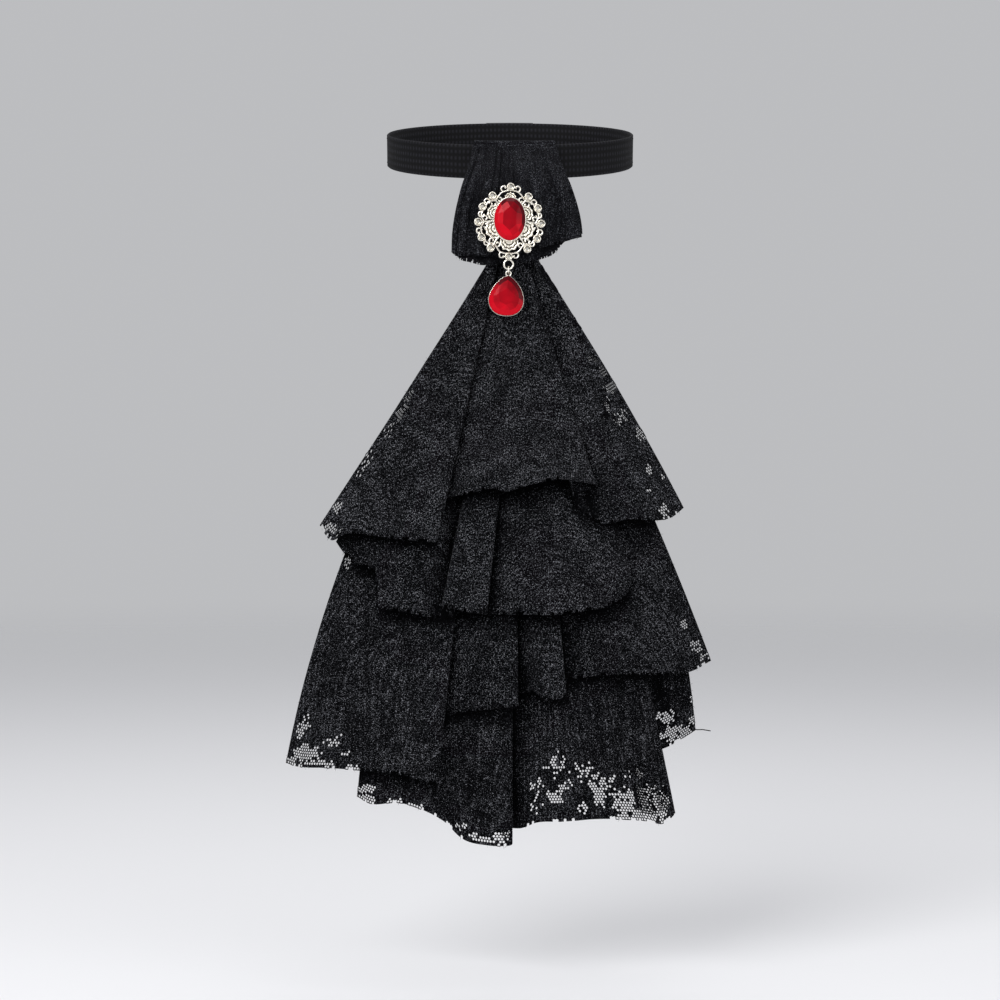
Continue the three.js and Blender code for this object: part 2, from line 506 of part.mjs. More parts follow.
// A shell lobe between bezel and cup: a scalloped half disc with raised ribs.
const LOBE_RIBS = 5;
const LOBE_HALF_TURN = 95; // degrees to either side of its axis
function shellLobe(cup) {
  const out = outwards(cup);
  const axis = Math.atan2(out.y, out.x);
  const edge = bezelReach(out);
  const centre = STONE_CENTRE.clone().addScaledVector(out, edge);
  const radius = 0.92 * (cup.place.distanceTo(STONE_CENTRE) - edge - CUP_RADIUS);
  const turnOf = (step) => axis + radians(lerp(-LOBE_HALF_TURN, LOBE_HALF_TURN, step / (2 * LOBE_RIBS)));
  const wide = (step) => radius * (1 - 0.12 * Math.abs(step / LOBE_RIBS - 1));
  const rim = Array.from({ length: 2 * LOBE_RIBS + 1 }, (_, i) => polar(centre, wide(i) * (i % 2 ? 1 : 0.88), turnOf(i)));
  const root = centre.clone().addScaledVector(out, -1.2);
  const ribs = [0, 2, 4].map((i) => {
    const tip = polar(centre, wide(2 * i + 1) * 0.92, turnOf(2 * i + 1));
    return strip([tip, root], WIRE * 0.55, 0.05, BROOCH_PLATE * 0.8);
  });
  return [plate([root, ...rim], 0, BROOCH_PLATE * 0.5), ...ribs];
}

// Hooks on either side: beside a cup and curling outwards, or on a stem and curling inwards.
const HOOKS = {
  outer: { aside: 1.75, inward: 0.45, radius: 0.68, from: 205, to: -70, steps: 6 },
  inner: { aside: 0.95, inward: 1.9, radius: 0.5, from: 20, to: 250, steps: 5 },
};
function hookPair(cup) {
  const out = outwards(cup);
  const side = new THREE.Vector2(-out.y, out.x);
  const axis = (Math.atan2(out.y, out.x) * 180) / Math.PI;
  const hook = cup.scrolled ? HOOKS.outer : HOOKS.inner;
  return [-1, 1].map((hand) => {
    const centre = cup.place.clone().addScaledVector(side, hand * hook.aside * CUP_RADIUS);
    centre.addScaledVector(out, -hook.inward * CUP_RADIUS);
    const line = arcLine(centre, hook.radius * CUP_RADIUS, axis + hand * hook.from, axis + hand * hook.to, hook.steps);
    const left = hand * (hook.to - hook.from) > 0;
    return strip(left ? line : line.reverse(), WIRE * 0.75, 0, BROOCH_PLATE * 1.1);
  });
}

// The rail runs from stem to stem, bowed out round each lobe to the foot of its cup.
function railStrips() {
  return CUPS.map((cup, i) => {
    const next = CUPS[(i + 1) % CUPS.length];
    const at = (point, share) => STONE_CENTRE.clone().lerp(point, share);
    const foot = (end) => at(end.place, end.scrolled ? 0.92 : 0.82);
    const middle = at(cup.place.clone().lerp(next.place, 0.5), 0.96);
    return strip([foot(next), middle, foot(cup)], WIRE * 0.8, 0, BROOCH_PLATE * 0.75);
  });
}

const around = (points, centre) => points.map((point) => point.add(centre));

function broochFrame() {
  const pieces = railStrips();
  for (const cup of CUPS) {
    if (cup.scrolled) pieces.push(...shellLobe(cup));
    else pieces.push(strip([cup.place, STONE_CENTRE], WIRE, 0, BROOCH_PLATE));
    pieces.push(...hookPair(cup));
    pieces.push(plate(around(ellipse(2 * CUP_RADIUS, 2 * CUP_RADIUS, 8), cup.place), 0, CUP_HEIGHT));
  }
  const rim = 2 * (CUP_WALL + CLEARANCE);
  pieces.push(plate(around(ellipse(BEZEL_WIDTH + rim, BEZEL_HEIGHT + rim, 20), STONE_CENTRE), 0, BROOCH_PLATE * 1.8));
  let whole = join(pieces);
  const pocket = around(ellipse(BEZEL_WIDTH, BEZEL_HEIGHT, 20), STONE_CENTRE);
  const hollow = around(ellipse(BEZEL_WIDTH * 0.8, BEZEL_HEIGHT * 0.8, 14), STONE_CENTRE);
  whole = whole.subtract(toSolid(plate(pocket, BROOCH_PLATE * 0.8, STONE_HEIGHT)));
  whole = whole.subtract(toSolid(plate(hollow, -STONE_HEIGHT, 2 * STONE_HEIGHT)));
  for (const cup of CUPS) {
    const wide = RHINESTONE + CLEARANCE * 1.2;
    whole = whole.subtract(toSolid(plate(around(ellipse(wide, wide, 8), cup.place), BROOCH_PLATE * 0.7, STONE_HEIGHT)));
  }
  const lowest = CUPS.reduce((low, cup) => (cup.y < low.y ? cup : low)).place;
  const bailCentre = new THREE.Vector2(lowest.x, lowest.y - CUP_RADIUS - BAIL_RADIUS + WIRE / 2);
  const bail = wireRing(BAIL_RADIUS, WIRE / 2, 14).translate(bailCentre.x, bailCentre.y, BROOCH_PLATE / 2);
  return { solid: whole.add(toSolid(bail)), bailCentre };
}

// A round wire ring in the plane of the brooch.
function wireRing(radius, wire, segments) {
  return new THREE.TorusGeometry(radius, wire, 6, segments);
}

// A cut stone from rings of points, back to front, with a flat table and a flat back.
function cutStone(rings) {
  const sides = rings[0].outline.length;
  const points = [];
  rings.forEach(({ outline, height }) => outline.forEach((p) => points.push(new THREE.Vector3(p.x, p.y, height))));
  const faces = [];
  for (let ring = 0; ring < rings.length - 1; ring++) {
    for (let i = 0; i < sides; i++) {
      const j = (i + 1) % sides;
      const [a, b] = [ring * sides + i, ring * sides + j];
      faces.push(a, b + sides, b, a, a + sides, b + sides);
    }
  }
  const top = (rings.length - 1) * sides;
  for (let i = 1; i < sides - 1; i++) {
    faces.push(0, i, i + 1);
    faces.push(top, top + i + 1, top + i);
  }
  const geometry = new THREE.BufferGeometry().setFromPoints(points);
  geometry.setIndex(faces);
  geometry.computeVertexNormals();
  return geometry;
}

const ovalStone = (width, height, sides, rise) =>
  cutStone([
    { outline: ellipse(width * 0.75, height * 0.75, sides), height: 0 },
    { outline: ellipse(width, height, sides), height: rise * 0.3 },
    { outline: ellipse(width, height, sides), height: rise * 0.42 },
    { outline: ellipse(width * 0.86, height * 0.88, sides, Math.PI / sides), height: rise * 0.76 },
    { outline: ellipse(width * 0.6, height * 0.66, sides), height: rise },
  ]);

const smallStone = (width, rise) =>
  cutStone([
    { outline: ellipse(width, width, 8), height: 0 },
    { outline: ellipse(width, width, 8), height: rise * 0.4 },
    { outline: ellipse(width * 0.55, width * 0.55, 8, Math.PI / 8), height: rise },
  ]);

// Pear outline with its tip up. across: share of the half width. down: share of the height from the tip.
const PEAR = [
  { across: 0, down: 0 },
  { across: 0.3, down: 0.075 },
  { across: 0.6, down: 0.2 },
  { across: 0.86, down: 0.37 },
  { across: 1, down: 0.57 },
  { across: 0.95, down: 0.75 },
  { across: 0.74, down: 0.89 },
  { across: 0.4, down: 0.975 },
  { across: 0, down: 1 },
];
function pear(width, height) {
  const right = PEAR.map(({ across, down }) => new THREE.Vector2((across * width) / 2, (0.5 - down) * height));
  const left = right.slice(1, -1).reverse().map((p) => new THREE.Vector2(-p.x, p.y));
  return [...right, ...left];
}

// Where the brooch stands: its plate just clears the knot.
const BROOCH_BACK = KNOT_FRONT + KNOT_WALL / 2 + CLEARANCE;
const BROOCH_CENTRE = { x: -0.018 * BROOCH_WIDTH, z: KNOT_TOP - 0.722 * KNOT_HEIGHT };
function standUp(geometry, turn = radians(BROOCH_TURN)) {
  return geometry
    .rotateZ(-turn)
    .rotateX(Math.PI / 2)
    .translate(BROOCH_CENTRE.x, -BROOCH_BACK, BROOCH_CENTRE.z);
}

const { solid: frameSolid, bailCentre } = broochFrame();
add("brooch_frame", standUp(toGeometry(frameSolid)), METAL);

const stoneSeat = BROOCH_PLATE * 0.8 + CLEARANCE * 0.7;
const mainStone = ovalStone(STONE_WIDTH, STONE_HEIGHT, 16, STONE_RISE).translate(STONE_CENTRE.x, STONE_CENTRE.y, stoneSeat);
add("brooch_stone", standUp(mainStone), RED);

CUPS.forEach((cup, i) => {
  const seat = BROOCH_PLATE * 0.7 + CLEARANCE * 0.7;
  const stone = smallStone(RHINESTONE, RHINESTONE * 0.62).translate(cup.place.x, cup.place.y, seat);
  add("rhinestone_" + String(i + 1).padStart(2, "0"), standUp(stone), CRYSTAL);
});

// Jump ring and drop hang under the bail, whatever the brooch's own lean.
const bailSpot = new THREE.Vector3(bailCentre.x, bailCentre.y, 0).applyAxisAngle(new THREE.Vector3(0, 0, 1), -radians(BROOCH_TURN));
const hang = {
  x: BROOCH_CENTRE.x + bailSpot.x,
  depth: BROOCH_BACK + BROOCH_PLATE / 2,
  pivot: BROOCH_CENTRE.z + bailSpot.y - BAIL_RADIUS,
};
const ringCentre = hang.pivot + WIRE + CLEARANCE - RING_RADIUS;
const ringBottom = ringCentre - RING_RADIUS;
const jumpRing = wireRing(RING_RADIUS, WIRE / 2, 14).rotateY(Math.PI / 2).translate(hang.x, -hang.depth, ringCentre);
add("jump_ring", jumpRing, METAL);

const DROP_TIP = -LOOP_RADIUS * 0.55;
function dropFrame() {
  const outline = pear(DROP_WIDTH, DROP_HEIGHT).map((p) => new THREE.Vector2(p.x, p.y + DROP_TIP - DROP_HEIGHT / 2));
  const inner = 1 - (2 * DROP_RIM) / DROP_WIDTH;
  const middle = DROP_TIP - DROP_HEIGHT / 2;
  const cut = outline.map((p) => new THREE.Vector2(p.x * inner, (p.y - middle) * inner + middle - DROP_RIM * 0.3));
  const body = plate(outline, -DROP_DEPTH / 2, DROP_DEPTH * 0.62);
  const seat = plate(cut, -DROP_DEPTH / 2 + 0.7, DROP_DEPTH);
  const loop = wireRing(LOOP_RADIUS, WIRE * 0.4, 12);
  return toSolid(body).subtract(toSolid(seat)).add(toSolid(loop));
}
const hangDrop = (geometry) =>
  geometry.rotateZ(-radians(DROP_LEAN)).rotateX(Math.PI / 2).translate(hang.x, -hang.depth, ringBottom);
add("drop_frame", hangDrop(toGeometry(dropFrame())), METAL);

function dropStone() {
  const wide = DROP_WIDTH - 2 * DROP_RIM - 2 * CLEARANCE;
  const tall = (DROP_HEIGHT * wide) / DROP_WIDTH;
  const middle = DROP_TIP - DROP_HEIGHT / 2 - DROP_RIM * 0.3;
  const ring = (scale, height) => ({
    outline: pear(wide * scale, tall * scale).map((p) => new THREE.Vector2(p.x, p.y + middle)),
    height,
  });
  const floor = -DROP_DEPTH / 2 + 0.7 + CLEARANCE;
  return cutStone([ring(0.8, floor), ring(1, floor + 0.6), ring(1, floor + 1.2), ring(0.8, floor + 2.2), ring(0.5, floor + 2.7)]);
}
add("drop_stone", hangDrop(dropStone()), RED);

export default jabot;
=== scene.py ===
import math

import bmesh
import bpy
import numpy as np
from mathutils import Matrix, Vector


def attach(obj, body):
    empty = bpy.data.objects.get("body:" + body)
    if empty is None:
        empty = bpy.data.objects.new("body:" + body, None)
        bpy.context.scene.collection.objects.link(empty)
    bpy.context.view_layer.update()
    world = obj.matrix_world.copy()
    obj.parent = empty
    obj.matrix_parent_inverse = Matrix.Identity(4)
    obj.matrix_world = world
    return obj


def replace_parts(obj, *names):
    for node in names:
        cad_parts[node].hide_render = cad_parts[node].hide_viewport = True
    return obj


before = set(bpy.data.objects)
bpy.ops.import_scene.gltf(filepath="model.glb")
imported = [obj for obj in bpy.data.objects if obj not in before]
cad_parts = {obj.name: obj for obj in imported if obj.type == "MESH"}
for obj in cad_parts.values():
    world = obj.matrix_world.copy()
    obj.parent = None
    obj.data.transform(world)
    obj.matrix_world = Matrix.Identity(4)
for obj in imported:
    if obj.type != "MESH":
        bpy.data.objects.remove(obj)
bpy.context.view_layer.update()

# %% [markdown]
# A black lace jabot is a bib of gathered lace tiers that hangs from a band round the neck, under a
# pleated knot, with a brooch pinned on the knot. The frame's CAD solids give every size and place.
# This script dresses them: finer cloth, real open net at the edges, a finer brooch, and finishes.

MM = 0.001

# %% [markdown]
# The camera stands level, about a metre in front of the cloth, as the photograph's does. The frame
# is square, and 0.431 mm of the cloth fills one of its 1000 pixels. It is made first, so that every
# later step can be looked at through it.

# %% Camera
PICTURE, CLOTH_PER_PIXEL, CLOTH_DISTANCE = 1000, 0.431, 900
CAMERA_X, CAMERA_REACH, CAMERA_Z = -4.7, 980, -164.4
camera_data = bpy.data.cameras.new("camera")
camera_data.lens, camera_data.sensor_width = 75.17, 36
camera_data.clip_start, camera_data.clip_end = 0.05, 60
camera = bpy.data.objects.new("camera", camera_data)
camera.location = (CAMERA_X * MM, -CAMERA_REACH * MM, CAMERA_Z * MM)
camera.rotation_euler = (math.radians(90), 0, 0)
bpy.context.collection.objects.link(camera)
bpy.context.scene.camera = camera
print("camera at", tuple(camera.location))

# %% [markdown]
# A material is a small graph of nodes. Writing each node out takes four lines or more, so one helper
# adds a node together with its settings, its plain values and its links. Colours are given as the
# sRGB hex values that a colour picker shows, and Blender's sockets want linear light.

# %% Helpers for nodes and colours
def linear(hex_colour):
    """An sRGB hex colour as linear red, green, blue and alpha."""
    channels = [int(hex_colour[i:i + 2], 16) / 255 for i in (1, 3, 5)]
    return [c / 12.92 if c <= 0.04045 else ((c + 0.055) / 1.055) ** 2.4 for c in channels] + [1]


def add_node(tree, kind, inputs=None, out=0, **settings):
    """Adds a node and gives one output. An input that is a socket is linked, any other is set."""
    made = tree.nodes.new(kind if "Node" in kind else "ShaderNode" + kind)
    for key, value in settings.items():
        setattr(made, key, value)
    for key, value in (inputs or {}).items():
        if isinstance(value, bpy.types.NodeSocket):
            tree.links.new(value, made.inputs[key])
        else:
            made.inputs[key].default_value = value
    return made.outputs[out] if made.outputs else None


def new_material(name, values):
    """A material with those constants on its shader, and its tree."""
    material = bpy.data.materials.new(name)
    material.use_nodes = True
    for socket, value in values.items():
        material.node_tree.nodes["Principled BSDF"].inputs[socket].default_value = value
    return material, material.node_tree


def finish(tree, tone, stops, height=None, strength=0, depth_mm=0):
    """Colours the shader by a tone, between (place, hex) stops, and lets a height bend its light."""
    shader, colour = tree.nodes["Principled BSDF"], add_node(tree, "ValToRGB", {"Fac": tone})
    ramp = colour.node.color_ramp
    while len(ramp.elements) < len(stops):
        ramp.elements.new(0.5)
    for element, (place, hex_colour) in zip(ramp.elements, stops):
        element.position, element.color = place, linear(hex_colour)
    tree.links.new(colour, shader.inputs["Base Color"])
    if height:
        bump = add_node(tree, "Bump", {"Height": height, "Strength": strength, "Distance": depth_mm * MM})
        tree.links.new(bump, shader.inputs["Normal"])


def weighted(tree, total, *terms):
    """The total and each term's value times its weight."""
    for value, weight in terms:
        total = add_node(tree, "Math", {0: value, 1: weight, 2: total}, operation="MULTIPLY_ADD")
    return total


def pattern(tree, kind, size_mm, inputs=None, place=None, out="Fac", **settings):
    """A texture of that size in millimetres, fixed to the object unless another place is given."""
    if place is None:
        place = add_node(tree, "TexCoord", out="Object")
    placed = {"Vector": place, "Scale": 1 / (size_mm * MM), **(inputs or {})}
    return add_node(tree, kind, placed, out, **settings)


print("helpers ready")

# %% [markdown]
# The cloth is polyester crepe lace: tightly twisted yarn that throws the light back in grains. It is
# near black with a breath of blue, and each grain is about a third of a millimetre. The light that
# the grains catch is painted into the colour as grey specks, and a slow change of tone keeps large
# folds from looking flat. Shade in the folds and under the hems is painted too, by the crease
# attribute. The knot's cloth is drawn tight, so its grain lies flatter and its painted specks are
# weaker.

# %% Crepe lace
FIGURE_MM, SLOW_MM = 13, 28


def crepe_lace(name, stops, grain_mm, depth_mm):
    """Lace cloth: a fine net's dark holes, closed where the woven figure is, with painted glints from the
    grain and painted shade in the creases and under the hems.
    """
    material, tree = new_material(name, {"Roughness": 0.85, "Specular IOR Level": 0.04})
    grain_with_painted_glints = pattern(tree, "TexNoise", grain_mm, {"Detail": 1.0})
    slow = pattern(tree, "TexNoise", SLOW_MM, {"Detail": 2.0})
    clouds = pattern(tree, "TexNoise", FIGURE_MM, {"Detail": 1.5, "Distortion": 1.4})
    holes = pattern(tree, "TexVoronoi", 2 * grain_mm, {"Randomness": 0.45}, out="Distance")
    figure = add_node(tree, "MapRange", {"Value": clouds, "From Min": 0.47, "From Max": 0.53})
    # Painted shade: the points' crease attribute darkens the tone, on faces that do not turn to the back.
    facing = add_node(tree, "SeparateXYZ", {0: add_node(tree, "NewGeometry", out="Normal")}, "Y")
    front = add_node(tree, "Math", {0: facing, 1: 0.1}, operation="LESS_THAN")
    deep = add_node(tree, "Attribute", out="Fac", attribute_name="crease")
    crease = weighted(tree, 0, (deep, front))
    net = weighted(tree, 0, (holes, weighted(tree, 0.39, (figure, -0.16))))
    # The grain's part of the tone is painted glints, and the crease part is painted shade.
    tone = weighted(tree, grain_with_painted_glints, (slow, 0.05), (net, 1), (figure, 0.052), (crease, -0.16))
    height = weighted(tree, grain_with_painted_glints, (figure, 0.5), (net, 1))
    finish(tree, tone, stops, height, 0.5, depth_mm)
    return material


LACE = crepe_lace("crepe_lace", [
    (0.705, "#000001"), (0.76, "#060608"), (0.81, "#242528"), (0.87, "#494a4e"), (0.93, "#717277")],
    0.33, 0.35)
DRAWN_LACE = crepe_lace("drawn_crepe_lace", [
    (0.66, "#060608"), (0.745, "#121215"), (0.8, "#232428"), (0.87, "#3a3b3f"), (0.93, "#505156")],
    0.36, 0.3)
THREAD = crepe_lace("lace_thread", [(0.7, "#060608"), (0.95, "#202024")], 0.5, 0.1)
print("cloth finishes:", LACE.name, DRAWN_LACE.name, THREAD.name)

# %% [markdown]
# The metal is zinc alloy cast in a rubber mould and plated a pale warm silver. Plating keeps the
# default IOR, is fully metallic, and is a little duller in the hollows, where the polish misses.
# The red stones are moulded acrylic with a foil behind: saturated, with a thin gloss. The small
# stones are cut glass on silver foil.

# %% Metal and stones
CAST_MM, SILVER_TONES = 0.8, [(0.3, "#e6e0d2"), (0.55, "#f2eee4"), (0.8, "#fcfaf4")]
SILVER, silver_tree = new_material("silver_plated_zinc", {"Metallic": 1.0, "Roughness": 0.24})
cast = pattern(silver_tree, "TexNoise", CAST_MM, {"Detail": 3.0})
finish(silver_tree, cast, SILVER_TONES, cast, 0.12, 0.05)
silver_tree.links.new(add_node(silver_tree, "MapRange", {"Value": cast, "To Min": 0.34, "To Max": 0.16}),
                      silver_tree.nodes["Principled BSDF"].inputs["Roughness"])


def stone_finish(name, deep, bright, size_mm, values):
    """A foiled stone. Each facet gets a painted tone as its reflection would give it, with painted shade
    where it leans up or right.
    """
    material, tree = new_material(name, values)
    patch = pattern(tree, "TexNoise", size_mm, {"Detail": 1.0})
    # Painted light: a tone for each facet from its normal stands in for its reflections, and facets that lean
    # up or right are painted darker.
    facet = add_node(tree, "NewGeometry", out="True Normal")
    own = add_node(tree, "TexNoise", {"Vector": facet, "Scale": 2.6, "Detail": 0.0}, "Fac")
    lean = add_node(tree, "SeparateXYZ", {0: facet}).node.outputs
    mottle_and_painted_facet_light = weighted(tree, 0, (patch, 0.3), (own, 0.55), (lean["Z"], -1.1), (lean["X"], -0.6))
    finish(tree, mottle_and_painted_facet_light, [(0.12, deep), (0.58, bright)])
    return material


RED = stone_finish("red_foiled_acrylic", "#4c0009", "#c40019", 5, {
    "Roughness": 0.3, "Metallic": 0.25, "Specular IOR Level": 0.12, "IOR": 1.49,
    "Coat Weight": 0.05, "Coat Roughness": 0.03})
CRYSTAL = stone_finish("cut_glass_on_foil", "#98958d", "#f2efe7", 0.6, {
    "Roughness": 0.05, "Metallic": 0.7, "IOR": 1.55, "Coat Weight": 1.0, "Coat Roughness": 0.02})
print("hard finishes:", SILVER.name, RED.name, CRYSTAL.name)

# %% [markdown]
# A woven band has weft ribs across its width and warp lines along it, a few tenths of a millimetre
# apart. They are drawn coarser here, so that they show: a wave repeats at 0.31 of its size, which
# gives 2 and 2.8 mm. They follow the band's own UV map, so that they stay square to it all the way
# round. The clasp is moulded nylon.

# %% Band and clasp
WEFT_MM, WARP_MM = 6.4, 9.0
BAND, band_tree = new_material("woven_polyester_band", {"Roughness": 0.75, "Specular IOR Level": 0.15})
weave_place = add_node(band_tree, "UVMap", uv_map="weave")
weft = pattern(band_tree, "TexWave", WEFT_MM, {"Distortion": 0.6, "Detail": 1.0}, weave_place,
               bands_direction="X")
warp = pattern(band_tree, "TexWave", WARP_MM, {"Distortion": 0.8}, weave_place, bands_direction="Y")
cross = weighted(band_tree, 0, (weft, warp))
finish(band_tree, cross, [(0.1, "#050507"), (0.9, "#1b1b20")], cross, 0.7, 0.2)
CLASP_BLACK, clasp_tree = new_material("moulded_nylon", {"Roughness": 0.45, "IOR": 1.53})
clasp_grain = pattern(clasp_tree, "TexNoise", 0.5)
finish(clasp_tree, clasp_grain, [(0.3, "#0c0c0e"), (0.7, "#1b1b1f")], clasp_grain, 0.2, 0.05)
print("band finishes:", BAND.name, CLASP_BLACK.name)

# %% [markdown]
# The jabot hangs in front of a pale floor and pale air. The floor fades into the air with distance,
# so that no horizon cuts the picture. A broad soft lamp from high on the left models the folds, a
# second one on the right opens the shadows, and one from above draws the edges.

# %% Floor, air and lamps
def mesh_object(name, points, faces, edges=(), material=None, smooth=False):
    """An object from points in millimetres, whose fourth number is the painted shade that each carries."""
    mesh, points = bpy.data.meshes.new(name), np.asarray(points, dtype=float)
    mesh.from_pydata((points[:, :3] * MM).tolist(), list(edges), list(faces))
    if points.shape[1] > 3:
        # The painted shade is kept as the point attribute crease, which the cloth's material reads.
        mesh.attributes.new("crease", "FLOAT", "POINT").data.foreach_set("value", points[:, 3])
    mesh.update()
    made = bpy.data.objects.new(name, mesh)
    bpy.context.collection.objects.link(made)
    if material:
        mesh.materials.append(material)
    if smooth:
        mesh.shade_smooth()
    return made


FLOOR_Z, FLOOR_REACH = -372, 4200
paper, paper_tree = new_material("matt_paper", {"Base Color": linear("#e6e6e8"), "Roughness": 0.9})
far = add_node(paper_tree, "VectorMath", {0: add_node(paper_tree, "TexCoord", out="Object")}, "Value",
               operation="LENGTH")
fade = add_node(paper_tree, "MapRange", {"Value": far, "From Min": 0.6, "From Max": 3.6},
                interpolation_type="SMOOTHSTEP")
plain = paper_tree.nodes["Principled BSDF"].outputs["BSDF"]
blend = add_node(paper_tree, "MixShader", {0: fade, 1: plain, 2: add_node(paper_tree, "BsdfTransparent")})
paper_tree.links.new(blend, paper_tree.nodes["Material Output"].inputs["Surface"])
floor_corners = [(x * FLOOR_REACH, y * FLOOR_REACH, FLOOR_Z) for x, y in ((-1, -1), (1, -1), (1, 1), (-1, 1))]
mesh_object("floor", floor_corners, [(0, 1, 2, 3)], material=paper)
world = bpy.data.worlds.new("pale_air")
world.use_nodes = True
air = world.node_tree.nodes["Background"].inputs
air["Color"].default_value, air["Strength"].default_value = linear("#e9eaed"), 0.62
bpy.context.scene.world = world
bpy.context.scene.view_settings.view_transform = "Standard"
LAMPS = [("key", (-0.75, -1.25, 0.75), 0.9, 20), ("fill", (1.1, -1.0, 0.1), 1.1, 7),
         ("top", (0.1, 0.1, 1.1), 0.8, 5)]
LIT_POINT = Vector((0, -0.06, -0.16))
for name, place, size, power in LAMPS:
    lamp = bpy.data.lights.new(name, "AREA")
    lamp.size, lamp.energy = size, power
    lamp_object = bpy.data.objects.new(name, lamp)
    lamp_object.location = place
    lamp_object.rotation_euler = (LIT_POINT - Vector(place)).to_track_quat("-Z", "Y").to_euler()
    bpy.context.collection.objects.link(lamp_object)
print("lamps:", [lamp[0] for lamp in LAMPS])

# %% [markdown]
# Each tier is a strip of lace, gathered along its top into the neck band and folded into box pleats
# that open towards the hem. It is drawn from the rows of the CAD source: a row runs from neck to
# hem, and where two rows share a place but not a layer the cloth folds back on itself. Columns:
# neck and hem are sideways shares, drop a share of the length, layer 0 is in front, flare and bow
# bend the tip and the side. The gather is drawn a little narrower than the CAD's, and off its middle,
# as the photograph shows it, and the hems a millimetre lower, since ragged edges look shorter.

